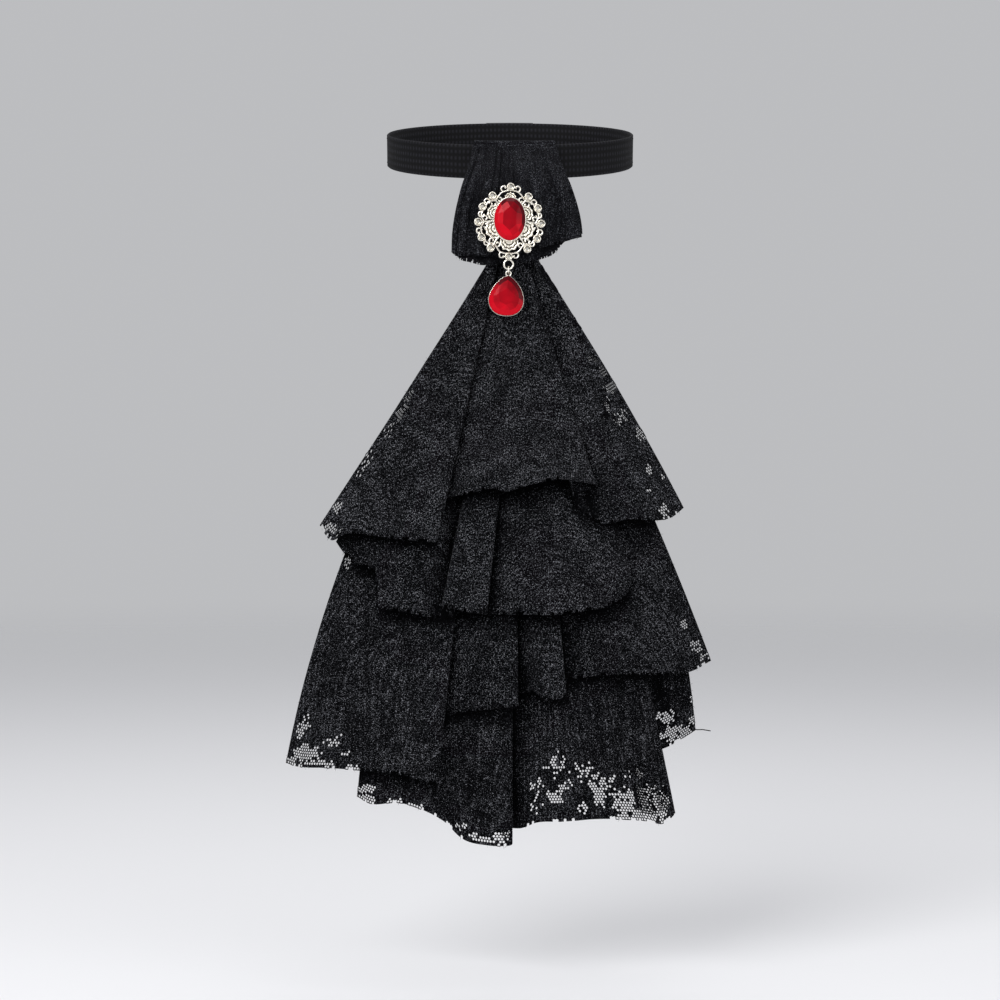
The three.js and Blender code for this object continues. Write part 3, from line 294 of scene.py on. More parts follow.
# %% The pleats of the four tiers
TIERS = {
    "tier_1": [
        (-1, -0.541, 0.943, 0, 0, 0.003), (-0.94, -0.506, 0.994, 0, 0.02, 0.003),
        (-0.88, -0.461, 0.97, 0, 0.015, 0.002), (-0.82, -0.394, 0.977, 0, 0, -0.002),
        (-0.74, -0.311, 0.991, 0, 0.01, 0), (-0.64, -0.211, 1, 0, 0.02, 0),
        (-0.64, -0.211, 0.996, 1, 0.02, 0), (-0.84, -0.3, 0.95, 1, 0, 0), (-0.84, -0.3, 0.87, 2, 0, 0),
        (-0.44, -0.187, 0.848, 2, 0, 0), (-0.26, -0.11, 0.828, 0.8, 0.02, 0),
        (-0.1, -0.051, 0.813, 0, 0.03, 0), (0, -0.02, 0.825, 0, 0.045, 0), (0.14, 0.055, 0.8, 0, 0.07, 0),
        (0.26, 0.131, 0.782, 0, 0.08, 0), (0.4, 0.201, 0.793, 0, 0.06, 0), (0.52, 0.237, 0.8, 0, 0.045, 0),
        (0.52, 0.237, 0.812, 1, 0.045, 0), (0.34, 0.179, 0.83, 1, 0.02, 0), (0.34, 0.179, 0.863, 2, 0, 0),
        (0.7, 0.257, 0.935, 2, 0, 0.004), (0.82, 0.332, 0.921, 0.6, 0.01, 0.006),
        (0.9, 0.409, 0.925, 0, 0.02, 0.009), (0.96, 0.452, 0.915, 0, 0.01, 0.011),
        (1, 0.489, 0.882, 0, -0.01, 0.013),
    ],
    "tier_2": [
        (-1, -0.622, 0.787, 1, 0, 0), (-0.95, -0.586, 0.822, 0.8, 0.01, 0),
        (-0.89, -0.53, 0.85, 0.5, 0.01, 0), (-0.84, -0.478, 0.875, 0.2, 0.01, 0),
        (-0.82, -0.468, 0.915, 0, 0.01, 0), (-0.8, -0.464, 0.962, 0, 0.01, 0),
        (-0.7, -0.372, 0.975, 0, 0.015, 0), (-0.52, -0.32, 0.985, 0.4, 0.01, 0),
        (-0.32, -0.268, 0.994, 2, 0, 0), (-0.02, -0.208, 1, 2, 0, 0), (-0.02, -0.208, 0.99, 1, 0, 0),
        (-0.16, -0.239, 0.965, 1, 0, 0), (-0.16, -0.239, 0.961, 0, 0.01, 0),
        (0.08, -0.162, 0.973, 0, 0.02, 0), (0.36, -0.088, 0.981, 0, 0.025, 0),
        (0.36, -0.088, 0.98, 1, 0.025, 0), (0.22, -0.15, 0.98, 1, 0, 0), (0.22, -0.15, 0.98, 2, 0, 0),
        (0.56, -0.062, 0.983, 2, 0, 0), (0.7, 0.031, 0.983, 0.9, 0.01, 0),
        (0.78, 0.164, 0.982, 0, 0.025, 0), (0.85, 0.276, 0.969, 0, 0.02, 0),
        (0.91, 0.334, 0.962, 0, 0.01, 0), (0.96, 0.417, 0.917, 0.4, -0.005, 0),
        (1, 0.424, 0.863, 1, -0.006, 0),
    ],
    "tier_3": [
        (-1, -0.546, 0.971, 0, -0.01, -0.062), (-0.95, -0.512, 0.977, 0, 0, -0.06),
        (-0.89, -0.434, 0.976, 0, 0.01, -0.05), (-0.83, -0.362, 0.98, 0, 0, -0.038),
        (-0.75, -0.266, 0.985, 0, 0.01, -0.02), (-0.66, -0.177, 1, 0, 0.02, -0.005),
        (-0.66, -0.177, 0.996, 1, 0.02, -0.005), (-0.84, -0.224, 0.95, 1, 0, 0),
        (-0.84, -0.224, 0.915, 2, 0, 0), (-0.48, -0.151, 0.876, 2, 0, 0), (-0.32, -0.044, 0.86, 0, 0, 0),
        (-0.08, 0.014, 0.853, 0, 0.015, 0), (-0.08, 0.014, 0.85, 1, 0.015, 0),
        (-0.22, -0.03, 0.84, 1, 0, 0), (-0.22, -0.03, 0.835, 2, 0, 0), (0.1, 0.028, 0.832, 2, 0, 0),
        (0.26, 0.06, 0.829, 0, 0.005, 0), (0.34, 0.078, 0.842, 0, 0.015, 0),
        (0.5, 0.129, 0.836, 0, 0.015, 0), (0.5, 0.129, 0.832, 1, 0.015, 0), (0.36, 0.094, 0.82, 1, 0, 0),
        (0.36, 0.094, 0.81, 2, 0, 0), (0.68, 0.145, 0.805, 2, 0, 0), (0.84, 0.25, 0.795, 0, 0.01, 0.004),
        (0.9, 0.345, 0.796, 0, 0.015, 0.008), (0.96, 0.43, 0.793, 0, 0, 0.008),
        (1, 0.485, 0.774, 0, -0.015, 0.01),
    ],
    "tier_4": [
        (-1, -0.457, 0.922, 1, 0, -0.06), (-0.9, -0.41, 0.934, 0.5, 0, -0.04),
        (-0.78, -0.333, 0.929, 0, 0.005, 0), (-0.66, -0.269, 0.938, 0, 0.01, 0),
        (-0.54, -0.201, 0.957, 0, 0.01, 0), (-0.42, -0.139, 0.99, 0, 0.005, 0),
        (-0.3, -0.074, 0.998, 0, 0.01, 0), (-0.1, 0, 0.997, 0, 0.015, 0), (-0.1, 0, 0.99, 1, 0.015, 0),
        (-0.28, -0.033, 0.98, 1, 0, 0), (-0.28, -0.033, 0.973, 2, 0, 0), (0.1, 0.028, 0.974, 2, 0, 0),
        (0.26, 0.08, 0.962, 0.8, 0, 0), (0.36, 0.144, 0.959, 0, 0.01, 0.002),
        (0.44, 0.262, 0.956, 0, 0.005, 0.006), (0.52, 0.395, 0.96, 0, 0.01, 0.014),
        (0.6, 0.447, 0.966, 0, 0.01, 0.017), (0.7, 0.484, 0.951, 0, 0.005, 0.024),
        (0.7, 0.484, 0.949, 1, 0.005, 0.024), (0.54, 0.381, 0.945, 1, 0, 0.01),
        (0.54, 0.381, 0.862, 2, 0, 0.01), (0.88, 0.476, 0.836, 2, 0, 0.05),
        (1, 0.552, 0.811, 1.4, -0.005, 0.085),
    ],
}
TIER_SPREAD = {"tier_1": 0.85, "tier_2": 0.68, "tier_3": 1.0, "tier_4": 0.816}
TIER_DROP = {"tier_1": 0.4846, "tier_2": 0.6168, "tier_3": 0.8907, "tier_4": 1.0}
WIDEST_HEM, LONGEST_DROP, GATHER_WIDTH = 176.5, 249.7, 23.0
GATHER_SHARE, GATHER_SHIFT, HEM_ALLOWANCE = 0.94, 1.3, 1.0
KNOT_TOP, KNOT_HEIGHT, KNOT_WIDTH = -6.0, 53.0, 56.8
NECK_RADIUS, BAND_WIDTH, BAND_WALL, BAND_TILT = 57.0, 15.0, 1.2, math.radians(15)
NECK_LINE = KNOT_TOP - 1.02 * KNOT_HEIGHT
FOLD_PITCH, HEM_PITCH, HEM_GAP, CLOTH_WALL, CLEARANCE = 1.3, 2.3, 1.2, 1.0, 0.3
CHEST_SWELL, CHEST_RUN, CHEST_ROUND = 34.0, 185.0, 300.0
STACK_REAR = NECK_RADIUS * math.cos(BAND_TILT) + BAND_WALL / 2 + CLEARANCE + CLOTH_WALL / 2
print("rows per tier:", {name: len(rows) for name, rows in TIERS.items()})

# %% [markdown]
# The rows carry the folds, and the cloth between them is smooth. A Catmull-Rom curve through the
# rows rounds each fold without moving it. Depth comes from the chest: the lower the cloth, the
# further it stands forward, and each tier lies in front of the one below it.

# %% Points on a tier's cloth
TIER_COUNT, REAR_LAYER, FLARE_POWER, LEAST_GAP = 4, 2, 6, 0.05


def lerp(a, b, t):
    """The value a share t of the way from a to b."""
    return a + (b - a) * t


def cloth_depth(x, z, tier, layer):
    """How far the cloth lies in front of the neck's axis."""
    below = np.clip((NECK_LINE - z) / CHEST_RUN, 0, 1)
    swell = below * below * (3 - 2 * below)
    pitch = lerp(FOLD_PITCH, HEM_PITCH, swell)
    step = 2 * pitch + CLOTH_WALL + lerp(CLEARANCE, HEM_GAP, swell)
    body = STACK_REAR + CHEST_SWELL * swell - x * x * swell / (2 * CHEST_ROUND)
    return body + (TIER_COUNT - tier) * step + (REAR_LAYER - layer) * pitch


def row_points(name, tier, levels):
    """Where each row lies at each level: 0 at the neck line, 1 at the hem, negative above it."""
    neck, hem, drop, layer, flare, bow = np.array(TIERS[name]).T
    t = np.asarray(levels)[:, None]
    down = np.clip(t, 0, 1)
    spread, length = TIER_SPREAD[name] * WIDEST_HEM, TIER_DROP[name] * LONGEST_DROP
    gathered = GATHER_SHIFT + GATHER_SHARE * neck * GATHER_WIDTH / 2
    x = lerp(gathered, hem * spread, down) + 4 * down * (1 - down) * bow * spread
    z = NECK_LINE - down * (drop * length + HEM_ALLOWANCE) - np.minimum(t, 0) * length
    y = -cloth_depth(x, z, tier, layer) - flare * length * down ** FLARE_POWER
    return np.stack(np.broadcast_arrays(x, y, z), axis=-1)


def through_rows(rows, pieces):
    """Centripetal Catmull-Rom across the rows of each level, with pieces[i] steps from row i to i + 1."""
    first, last = 2 * rows[:, :1] - rows[:, 1:2], 2 * rows[:, -1:] - rows[:, -2:-1]
    padded = np.concatenate([first, rows, last], axis=1)
    gaps = np.sqrt(np.maximum(np.linalg.norm(np.diff(padded, axis=1), axis=-1), LEAST_GAP))[..., None]
    columns = []
    for i, count in enumerate(pieces):
        p0, p1, p2, p3 = (padded[:, i + k] for k in range(4))
        d0, d1, d2 = gaps[:, i], gaps[:, i + 1], gaps[:, i + 2]
        for step in range(count + (i == len(pieces) - 1)):
            t = d1 * step / count
            a1 = (p0 * -t + p1 * (t + d0)) / d0
            a2 = (p1 * (d1 - t) + p2 * t) / d1
            a3 = (p2 * (d1 + d2 - t) + p3 * (t - d1)) / d2
            b1 = (a1 * (d1 - t) + a2 * (t + d0)) / (d0 + d1)
            b2 = (a2 * (d1 + d2 - t) + a3 * t) / (d1 + d2)
            columns.append((b1 * (d1 - t) + b2 * t) / d1)
    return np.stack(columns, axis=1)


print("front row of tier 1 at the hem:", row_points("tier_1", 1, [1.0])[0, 5].round(1))

# %% [markdown]
# The lace is worked as a grid of six-sided cells, as bobbin net is. A cell that the pattern fills is
# cloth, and an open one leaves only its threads. The real net's holes are about half a millimetre.
# Drawn that fine they vanish in a picture, so a cell is 1.2 mm wide here, its hole about 0.7. The
# levels of the grid are as far apart as the cells are high, and every second line is half a cell
# aside.

# %% The grid of cells
CELL_WIDTH, CELL_HEIGHT, SQUEEZE, HIDDEN_ROWS, LEAST_STEPS = 1.2, 1.16, 0.17, 6, 6
TOP_SHARE, TOP_STEP = 0.19, 0.066


def cell_grid(name, tier):
    """The cells' corners [level][column], the same grid with straight lines, and the rows' columns."""
    length = TIER_DROP[name] * LONGEST_DROP
    top = KNOT_TOP - (TOP_SHARE + TOP_STEP * (TIER_COUNT - tier)) * KNOT_HEIGHT
    levels = np.concatenate([np.linspace((NECK_LINE - top) / length, 0, HIDDEN_ROWS + 1)[:-1],
                             np.linspace(0, 1, 2 * round(length / CELL_HEIGHT / 2) + 1)])
    hem_rows = row_points(name, tier, [1.0])[0]
    spans = np.linalg.norm(np.diff(hem_rows, axis=0), axis=1)
    pieces = [max(LEAST_STEPS, 2 * round(span / CELL_WIDTH)) for span in spans]
    shift = np.full(len(levels), SQUEEZE * CELL_HEIGHT / length)
    shift[0] = shift[-1] = 0
    up, low, even = (through_rows(row_points(name, tier, levels + move), pieces)
                     for move in (-shift, shift, 0))
    parity = (np.arange(len(levels))[:, None] + np.arange(up.shape[1])[None, :]) % 2
    return np.where(parity[..., None] == 0, low, up), even, np.cumsum([0] + pieces)


print("tier 1 grid", cell_grid("tier_1", 1)[0].shape)

# %% [markdown]
# The lace is dense over most of its face, and the net ground shows in patches, most of them at the
# tips and hems. They are charted as leaf-shaped patches in the photograph's own frame: place
# across and down, half width, half height, and turn in degrees. Whatever cloth lies there is open.
# Woven dots stay in them, and their borders are broken, as the pattern's are. In the faint patches a
# second figure fills more than half of the cells.

# %% Where the net shows
OPEN_PATCHES = [
    (303, 727, 4, 11, 20), (306, 755, 12, 9, 0), (292, 761, 5, 4, 0), (318, 763, 14, 3, 5),
    (346, 754, 4, 3, -20), (353, 769, 5, 5, -40), (367, 789, 9, 4, -5), (364, 799, 9, 4, 0),
    (395, 801, 8, 2, 0), (415, 806, 9, 2, 10), (480, 838, 10, 3, 15), (500, 838, 8, 6, -10),
    (512, 832, 4, 4, -40), (666, 717, 7, 7, 0), (672, 734, 13, 6, -15), (687, 731, 6, 4, -30),
    (693, 720, 3, 4, 0), (694, 699, 3, 4, 0), (554, 797, 9, 5, 30), (598, 794, 4, 12, -20),
    (625, 806, 10, 15, 20), (644, 798, 18, 12, 0), (647, 814, 18, 6, 0), (662, 803, 7, 13, 0),
    (545, 271, 4, 6, -25), (553, 283, 4, 8, -30), (562, 306, 3, 5, -30), (582, 340, 3, 5, -30),
    (592, 358, 3, 5, -30), (603, 371, 3, 5, -30), (611, 387, 5, 5, 0), (607, 407, 3, 9, 0),
    (640, 434, 4, 6, -20), (649, 469, 3, 4, 0), (650, 490, 2, 2, 0), (664, 511, 4, 5, 0),
    (409, 396, 2, 6, 30), (401, 413, 3, 9, 30), (337, 507, 4, 6, 30), (333, 529, 8, 4, 20),
    (697, 646, 5, 6, -20), (703, 657, 5, 3, -10), (684, 624, 3, 5, -20),
]
FAINT_PATCHES = [
    (558, 766, 10, 9, 0), (585, 772, 10, 8, 30), (635, 772, 8, 7, 0), (600, 783, 13, 7, 0),
    (537, 787, 6, 10, 0), (537, 806, 5, 8, 0), (562, 788, 13, 4, -20), (583, 809, 5, 7, 0),
    (611, 789, 6, 7, 0), (620, 418, 9, 6, -35), (663, 480, 3, 4, 0), (365, 463, 4, 13, 30),
    (389, 431, 3, 6, 30), (332, 742, 8, 5, -30), (348, 560, 3, 7, 20), (575, 322, 3, 12, -30),
    (459, 825, 6, 4, 0),
]
OPEN_SHARE, FAINT_SHARE = 0.88, 0.38
DOTS_ACROSS, DOTS_DOWN, DOT_RADIUS, BORDER_WAVE, BORDER_NOISE = 6.2, 5.6, 0.8, 0.22, 0.24


def in_picture(points):
    """Where points in millimetres fall in the camera's picture."""
    per_pixel = (CAMERA_REACH + points[..., 1]) * (CLOTH_PER_PIXEL / CLOTH_DISTANCE)
    middle = PICTURE / 2
    return middle + (points[..., 0] - CAMERA_X) / per_pixel, middle - (points[..., 2] - CAMERA_Z) / per_pixel


def openness(points, u, v, rng):
    """True where a cell with that middle is net."""
    across, down = in_picture(points)
    ragged = 1 + BORDER_WAVE * np.sin(u / 1.1) * np.sin(v / 1.3)
    ragged = ragged + BORDER_NOISE * rng.standard_normal(across.shape)
    opened = np.zeros(across.shape, bool)
    for patches, share in ((OPEN_PATCHES, OPEN_SHARE), (FAINT_PATCHES, FAINT_SHARE)):
        some = rng.random(across.shape) < share
        for x, y, half_width, half_height, turn in patches:
            c, s = math.cos(math.radians(turn)), math.sin(math.radians(turn))
            dx, dy = across - x, down - y
            away = np.hypot((dx * c + dy * s) / half_width, (dy * c - dx * s) / half_height)
            opened |= some & (away < ragged)
    aside = np.where(np.floor(v / DOTS_DOWN) % 2 == 0, 0, DOTS_ACROSS / 2)
    dot = np.hypot((u + aside) % DOTS_ACROSS - DOTS_ACROSS / 2, v % DOTS_DOWN - DOTS_DOWN / 2) < DOT_RADIUS
    return opened & ~dot


print("open patches:", len(OPEN_PATCHES), "faint:", len(FAINT_PATCHES))

# %% [markdown]
# Threads are tubes that follow edges. A small Geometry Nodes tree turns any mesh of edges into
# round thread of a given radius, and the same tree draws net, filigree wire and rings. Every tree
# ends in real geometry with its finish set.

# %% Geometry Nodes helpers
def start_tree(name, sockets):
    """A tree with inputs from a table of names and socket types, and those inputs' sockets."""
    tree = bpy.data.node_groups.new(name, "GeometryNodeTree")
    for label, kind in {"Geometry": "Geometry", **sockets, "Finish": "Material"}.items():
        tree.interface.new_socket(label, in_out="INPUT", socket_type="NodeSocket" + kind)
    tree.interface.new_socket("Geometry", in_out="OUTPUT", socket_type="NodeSocketGeometry")
    return tree, add_node(tree, "NodeGroupInput").node.outputs


def end_tree(tree, geometry, given):
    """Makes instances real, sets the finish and leads the geometry out."""
    real = add_node(tree, "GeometryNodeRealizeInstances", {"Geometry": geometry})
    finished = add_node(tree, "GeometryNodeSetMaterial", {"Geometry": real, "Material": given["Finish"]})
    add_node(tree, "NodeGroupOutput", {"Geometry": finished})
    print("tree:", tree.name)


def baked(made):
    """Applies the object's modifiers and leaves a plain mesh."""
    mesh = bpy.data.meshes.new_from_object(made.evaluated_get(bpy.context.evaluated_depsgraph_get()))
    made.modifiers.clear()
    made.data = mesh
    return made


def grow(made, tree, values):
    """Runs the tree on the object with those inputs, and leaves a plain mesh."""
    modifier = made.modifiers.new("grow", "NODES")
    modifier.node_group = tree
    named = {item.name: item.identifier for item in tree.interface.items_tree if item.in_out == "INPUT"}
    for label, value in values.items():
        modifier[named[label]] = value
    return baked(made)


thread_tree, given = start_tree("thread_along_edges", {"Radius": "Float", "Sides": "Int"})
path = add_node(thread_tree, "GeometryNodeMeshToCurve", {"Mesh": given["Geometry"]})
round_profile = add_node(thread_tree, "GeometryNodeCurvePrimitiveCircle", {
    "Resolution": given["Sides"], "Radius": given["Radius"]})
tube = add_node(thread_tree, "GeometryNodeCurveToMesh", {
    "Curve": path, "Profile Curve": round_profile, "Fill Caps": True})
end_tree(thread_tree, tube, given)

# %% [markdown]
# Cut lace sheds: short thread ends stand out of every hem and side. Each is one thin spike. The
# tree places them on points of the edge, turned along the point's own outward direction with a
# random lean and length from a fixed seed.

# %% A tree for loose thread ends
def around(count):
    """That many angles, evenly spaced round a full turn."""
    return np.linspace(0, 2 * math.pi, count, endpoint=False)


def spike():
    """A thin bent spike along +Z, one metre long, which each thread end scales down."""
    corners = [(math.cos(a), math.sin(a)) for a in around(3)]
    points = [(0.05 * x, 0.05 * y, 0) for x, y in corners]
    points += [(0.04 * x + 0.06, 0.04 * y, 0.5) for x, y in corners] + [(0.0, 0.05, 1.0)]
    faces = [(i, (i + 1) % 3, 3 + (i + 1) % 3, 3 + i) for i in range(3)]
    faces += [(3 + i, 3 + (i + 1) % 3, 6) for i in range(3)] + [(2, 1, 0)]
    return mesh_object("spike", np.array(points) / MM, faces)


SPIKE, SHORTEST_END, TWIST = spike(), 0.35, 3.0
fringe_tree, given = start_tree("loose_thread_ends", {
    "Spike": "Object", "Length": "Float", "Lean": "Float", "Seed": "Int", "Share": "Float"})
one_spike = add_node(fringe_tree, "GeometryNodeObjectInfo", {"Object": given["Spike"]}, "Geometry")
outward = add_node(fringe_tree, "GeometryNodeInputNamedAttribute", {"Name": "outward"}, "Attribute",
                   data_type="FLOAT_VECTOR")
facing = add_node(fringe_tree, "FunctionNodeAlignRotationToVector", {"Vector": outward}, axis="Z")
other_way = weighted(fringe_tree, 0, (given["Lean"], -1))
low = add_node(fringe_tree, "CombineXYZ", {0: other_way, 1: other_way, 2: -TWIST})
high = add_node(fringe_tree, "CombineXYZ", {0: given["Lean"], 1: given["Lean"], 2: TWIST})
lean, size, kept = (
    add_node(fringe_tree, "FunctionNodeRandomValue", {**limits, "Seed": given["Seed"]}, "Value",
             data_type=kind)
    for kind, limits in (
        ("FLOAT_VECTOR", {"Min": low, "Max": high}),
        ("FLOAT", {"Min": weighted(fringe_tree, 0, (given["Length"], SHORTEST_END)), "Max": given["Length"]}),
        ("BOOLEAN", {"Probability": given["Share"]})))
turned = add_node(fringe_tree, "FunctionNodeRotateRotation", {"Rotation": facing, "Rotate By": lean},
                  rotation_space="LOCAL")
spikes = add_node(fringe_tree, "GeometryNodeInstanceOnPoints", {
    "Points": given["Geometry"], "Instance": one_spike, "Rotation": turned, "Scale": size, "Selection": kept})
end_tree(fringe_tree, spikes, given)

# %% [markdown]
# Now the four tiers are cut. Cells away from any net are merged two by two, since nobody sees the
# net there, and those round a patch stay fine. Dense cells become cloth about half a millimetre
# thick, as crepe lace is, in the middle of the thicker CAD wall. Open cells leave their threads.
# The last cells along the hem are dropped here and there, so that the cut edge is ragged.

# %% Measures on the grid
CLOTH_THICK, THREAD_RADIUS = 0.45, 0.25
SWELLS = [(0.24, 3.1, 23, 1), (0.14, 1.3, 9, 2)]
# How far the painted shade behind fold edges and under hems reaches.
RIPPLE_FADE, BEHIND, FOLD_SHADE, HEM_SHADE, NO_HEM = 60, 0.35, (0.5, 2.2), 2.6, 1000.0


def measure(points):
    """For each point: u along the hem, v up from the hem along the cloth, in millimetres."""
    u = np.concatenate([[0], np.cumsum(np.linalg.norm(np.diff(points[-1], axis=0), axis=1))])
    down = np.linalg.norm(np.diff(points, axis=0), axis=2)
    v = np.concatenate([np.cumsum(down[::-1], axis=0)[::-1], np.zeros((1, points.shape[1]))])
    return np.broadcast_to(u, v.shape), v


def ripple(points, tier):
    """Small swells of the cloth between folds, fading to nothing at the gathers."""
    u = np.arange(points.shape[1])[None, :] * CELL_WIDTH / 2
    z = points[..., 2]
    swell = sum(high * np.sin(u / wide + z / tall + turn * tier) for high, wide, tall, turn in SWELLS)
    points[..., 1] += np.clip((NECK_LINE - z) / RIPPLE_FADE, 0, 1) * swell
    return points


def painted_fold_shade(name, grid, starts):
    """Painted shade behind the edge of each fold: 1 right behind it, 0 in the open."""
    hem, layer = np.array(TIERS[name]).T[[1, 3]]
    lies = np.interp(np.arange(grid.shape[1]), starts, layer)
    down = np.clip((NECK_LINE - grid[..., 2]) / (TIER_DROP[name] * LONGEST_DROP), 0, 1)
    crease = np.zeros(grid.shape[:2])
    for i in np.nonzero(np.diff(hem) == 0)[0]:
        edge = starts[i if layer[i] < layer[i + 1] else i + 1]
        away = np.abs(grid[..., 0] - grid[:, edge:edge + 1, 0])
        behind = lies > min(layer[i], layer[i + 1]) + BEHIND
        crease = np.maximum(crease, behind * np.exp(-away / (FOLD_SHADE[0] + FOLD_SHADE[1] * down)))
    return crease


def painted_hem_shadow(grid, hem):
    """Painted shadow on points just below a hem that hangs in front of them."""
    across = np.arange(-110, 111.0)
    low = np.full(len(across), NO_HEM)
    np.minimum.at(low, np.round(hem[:, 0] - across[0]).astype(int), hem[:, 2])
    below = np.interp(grid[..., 0], across, low) - grid[..., 2]
    return np.where(below > -3, np.exp(-np.maximum(below, 0) / HEM_SHADE), 0)


def quad_middles(values):
    """Means of the four corners of every grid square."""
    return (values[:-1, :-1] + values[1:, :-1] + values[:-1, 1:] + values[1:, 1:]) / 4


print("cloth", CLOTH_THICK, "mm, thread", 2 * THREAD_RADIUS, "mm")

# %% Cells, merged where they may be
RAGGED_ROW, RAGGED_SHARE, TIER_SHADE = 1.25, 0.14, 0.04


def outline_of(top, low, left, right):
    """The grid points round a patch of squares, clockwise from its top left."""
    return ([(top, k) for k in range(left, right)] + [(k, right) for k in range(top, low)]
            + [(low, k) for k in range(right, left, -1)] + [(k, left) for k in range(low, top, -1)])


def cells_of(is_open, gone):
    """Dense faces and open faces as lists of grid points. Squares that are gone belong to neither."""
    rows, columns = is_open.shape
    block = (is_open | gone).reshape(rows // 2, 2, columns // 2, 2).any(axis=(1, 3))
    grown = block.copy()
    grown[1:] |= block[:-1]
    grown[:-1] |= block[1:]
    grown[:, 1:] |= block[:, :-1]
    grown[:, :-1] |= block[:, 1:]
    solid, net, used = [], [], set()
    for r in range(rows):
        for c in range(-(r % 2), columns, 2):
            span = [k for k in (c, c + 1) if 0 <= k < columns and grown[r // 2, k // 2]]
            if not span or gone[r, span].any():
                continue
            face = outline_of(r, r + 1, span[0], span[-1] + 1)
            (net if is_open[r, span].any() else solid).append(face)
            used.update(face)
    for r, c in zip(*np.nonzero(~grown)):
        ring = outline_of(2 * r, 2 * r + 2, 2 * c, 2 * c + 2)
        corners = ring[::2]
        solid.append([p for p in ring if p in corners or p in used])
    return solid, net


def weave_tier(name, tier, rng, hems):
    """Points with their painted shade, cloth faces and net edges of a tier, with its even grid."""
    points, even, starts = cell_grid(name, tier)
    points, even = ripple(points, tier), ripple(even, tier)
    # The fourth number is painted shade: behind fold edges, under the hems of the tiers in front, and more on
    # each lower tier, as if in the shade of those above.
    crease = np.maximum.reduce([painted_fold_shade(name, even, starts)] + [painted_hem_shadow(even, hem) for hem in hems])
    crease = np.minimum(crease + TIER_SHADE * (tier - 1), 1)
    u, v = (quad_middles(values) for values in measure(even))
    is_open = openness(quad_middles(even), u, v, rng)
    is_open[:HIDDEN_ROWS] = False
    solid, net = cells_of(is_open, (v < RAGGED_ROW) & (rng.random(v.shape) < RAGGED_SHARE))
    columns = points.shape[1]
    cloth = [[r * columns + c for r, c in face][::-1] for face in solid]
    edges = {tuple(sorted((a[0] * columns + a[1], b[0] * columns + b[1])))
             for face in net for a, b in zip(face, face[1:] + face[:1])}
    return np.dstack([points, crease]).reshape(-1, 4), cloth, sorted(edges), even


print("cell helpers ready")

# %% Meshes from the cells
END_LEAN, SIDE_DROOP = 0.7, -0.2


def only_used(points, parts):
    """Only the points that the faces or edges use, and those faces or edges renumbered."""
    used = sorted({i for part in parts for i in part})
    new = {old: i for i, old in enumerate(used)}
    return points[used], [tuple(new[i] for i in part) for part in parts]


def cloth_wall(name, points, faces, finish, thickness):
    """A closed wall of that thickness in millimetres about a sheet's faces."""
    made = mesh_object(name, *only_used(points, faces), material=finish, smooth=True)
    solid = made.modifiers.new("thickness", "SOLIDIFY")
    solid.thickness, solid.offset = thickness * MM, 0
    return baked(made)


def thread_ends(name, line, outward, length, seed, share):
    """Loose thread ends along a line of points, each pointing outward."""
    ends = mesh_object(name, line, [])
    ends.data.attributes.new("outward", "FLOAT_VECTOR", "POINT").data.foreach_set("vector", np.ravel(outward))
    grow(ends, fringe_tree, {"Spike": SPIKE, "Length": length * MM, "Lean": END_LEAN, "Seed": seed,
                             "Share": share, "Finish": THREAD})
    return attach(ends, "jabot")


def border_line(grid):
    """Points and outward directions round the free edges of a tier: left side, hem, right side."""
    left, hem, right = grid[HIDDEN_ROWS:, 0], grid[-1, 1:-1], grid[HIDDEN_ROWS:, -1]
    outward = ([[-1, 0, SIDE_DROOP]] * len(left) + [[0, 0, -1]] * len(hem)
               + [[1, 0, SIDE_DROOP]] * len(right))
    return np.concatenate([left, hem, right]), np.array(outward, dtype=float)


print("mesh helpers ready")

# %% The four tiers
TIER_SEED, ENDS_SEED, END_LENGTH, END_SHARE = 20, 10, 1.5, 0.1
PULLED_THREAD = [(-2, 0, 1.6), (0.5, -0.3, 0.2), (3, -0.5, 0.3), (6.5, -0.3, -0.3)]
hems = []
for name in TIERS:
    tier = int(name[-1])
    points, cloth, net, grid = weave_tier(name, tier, np.random.default_rng(TIER_SEED + tier), hems)
    hems.append(grid[-1])
    tier_cloth = cloth_wall(f"{name}_cloth", points, cloth, LACE, CLOTH_THICK)
    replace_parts(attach(tier_cloth, "jabot"), name)
    net_points, net_edges = only_used(points, net)
    if name == "tier_4":
        count = len(net_points)
        net_edges += [(k, k + 1) for k in range(count, count + len(PULLED_THREAD) - 1)]
        net_points = np.vstack([net_points[:, :3], grid[-1, -1] + PULLED_THREAD])
    tier_net = grow(mesh_object(f"{name}_net", net_points, [], net_edges), thread_tree, {
        "Radius": THREAD_RADIUS * MM, "Sides": 3, "Finish": THREAD})
    tier_ends = thread_ends(f"{name}_ends", *border_line(grid), END_LENGTH, ENDS_SEED + tier, END_SHARE)
    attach(tier_net, "jabot")

# %% [markdown]
# The knot is a short strip of the same lace, wrapped over the front of the band and stitched behind
# it. It is gathered, so it is full of fine creases that run down from the band and fan out. The
# brooch is pinned flat on it, so creases only go inwards from the CAD wall and never push it off.
# Columns of the first table: place across, depth of the crease there, ends of the two hems. Columns
# of the second: width, how far forward and how far down, as shares.

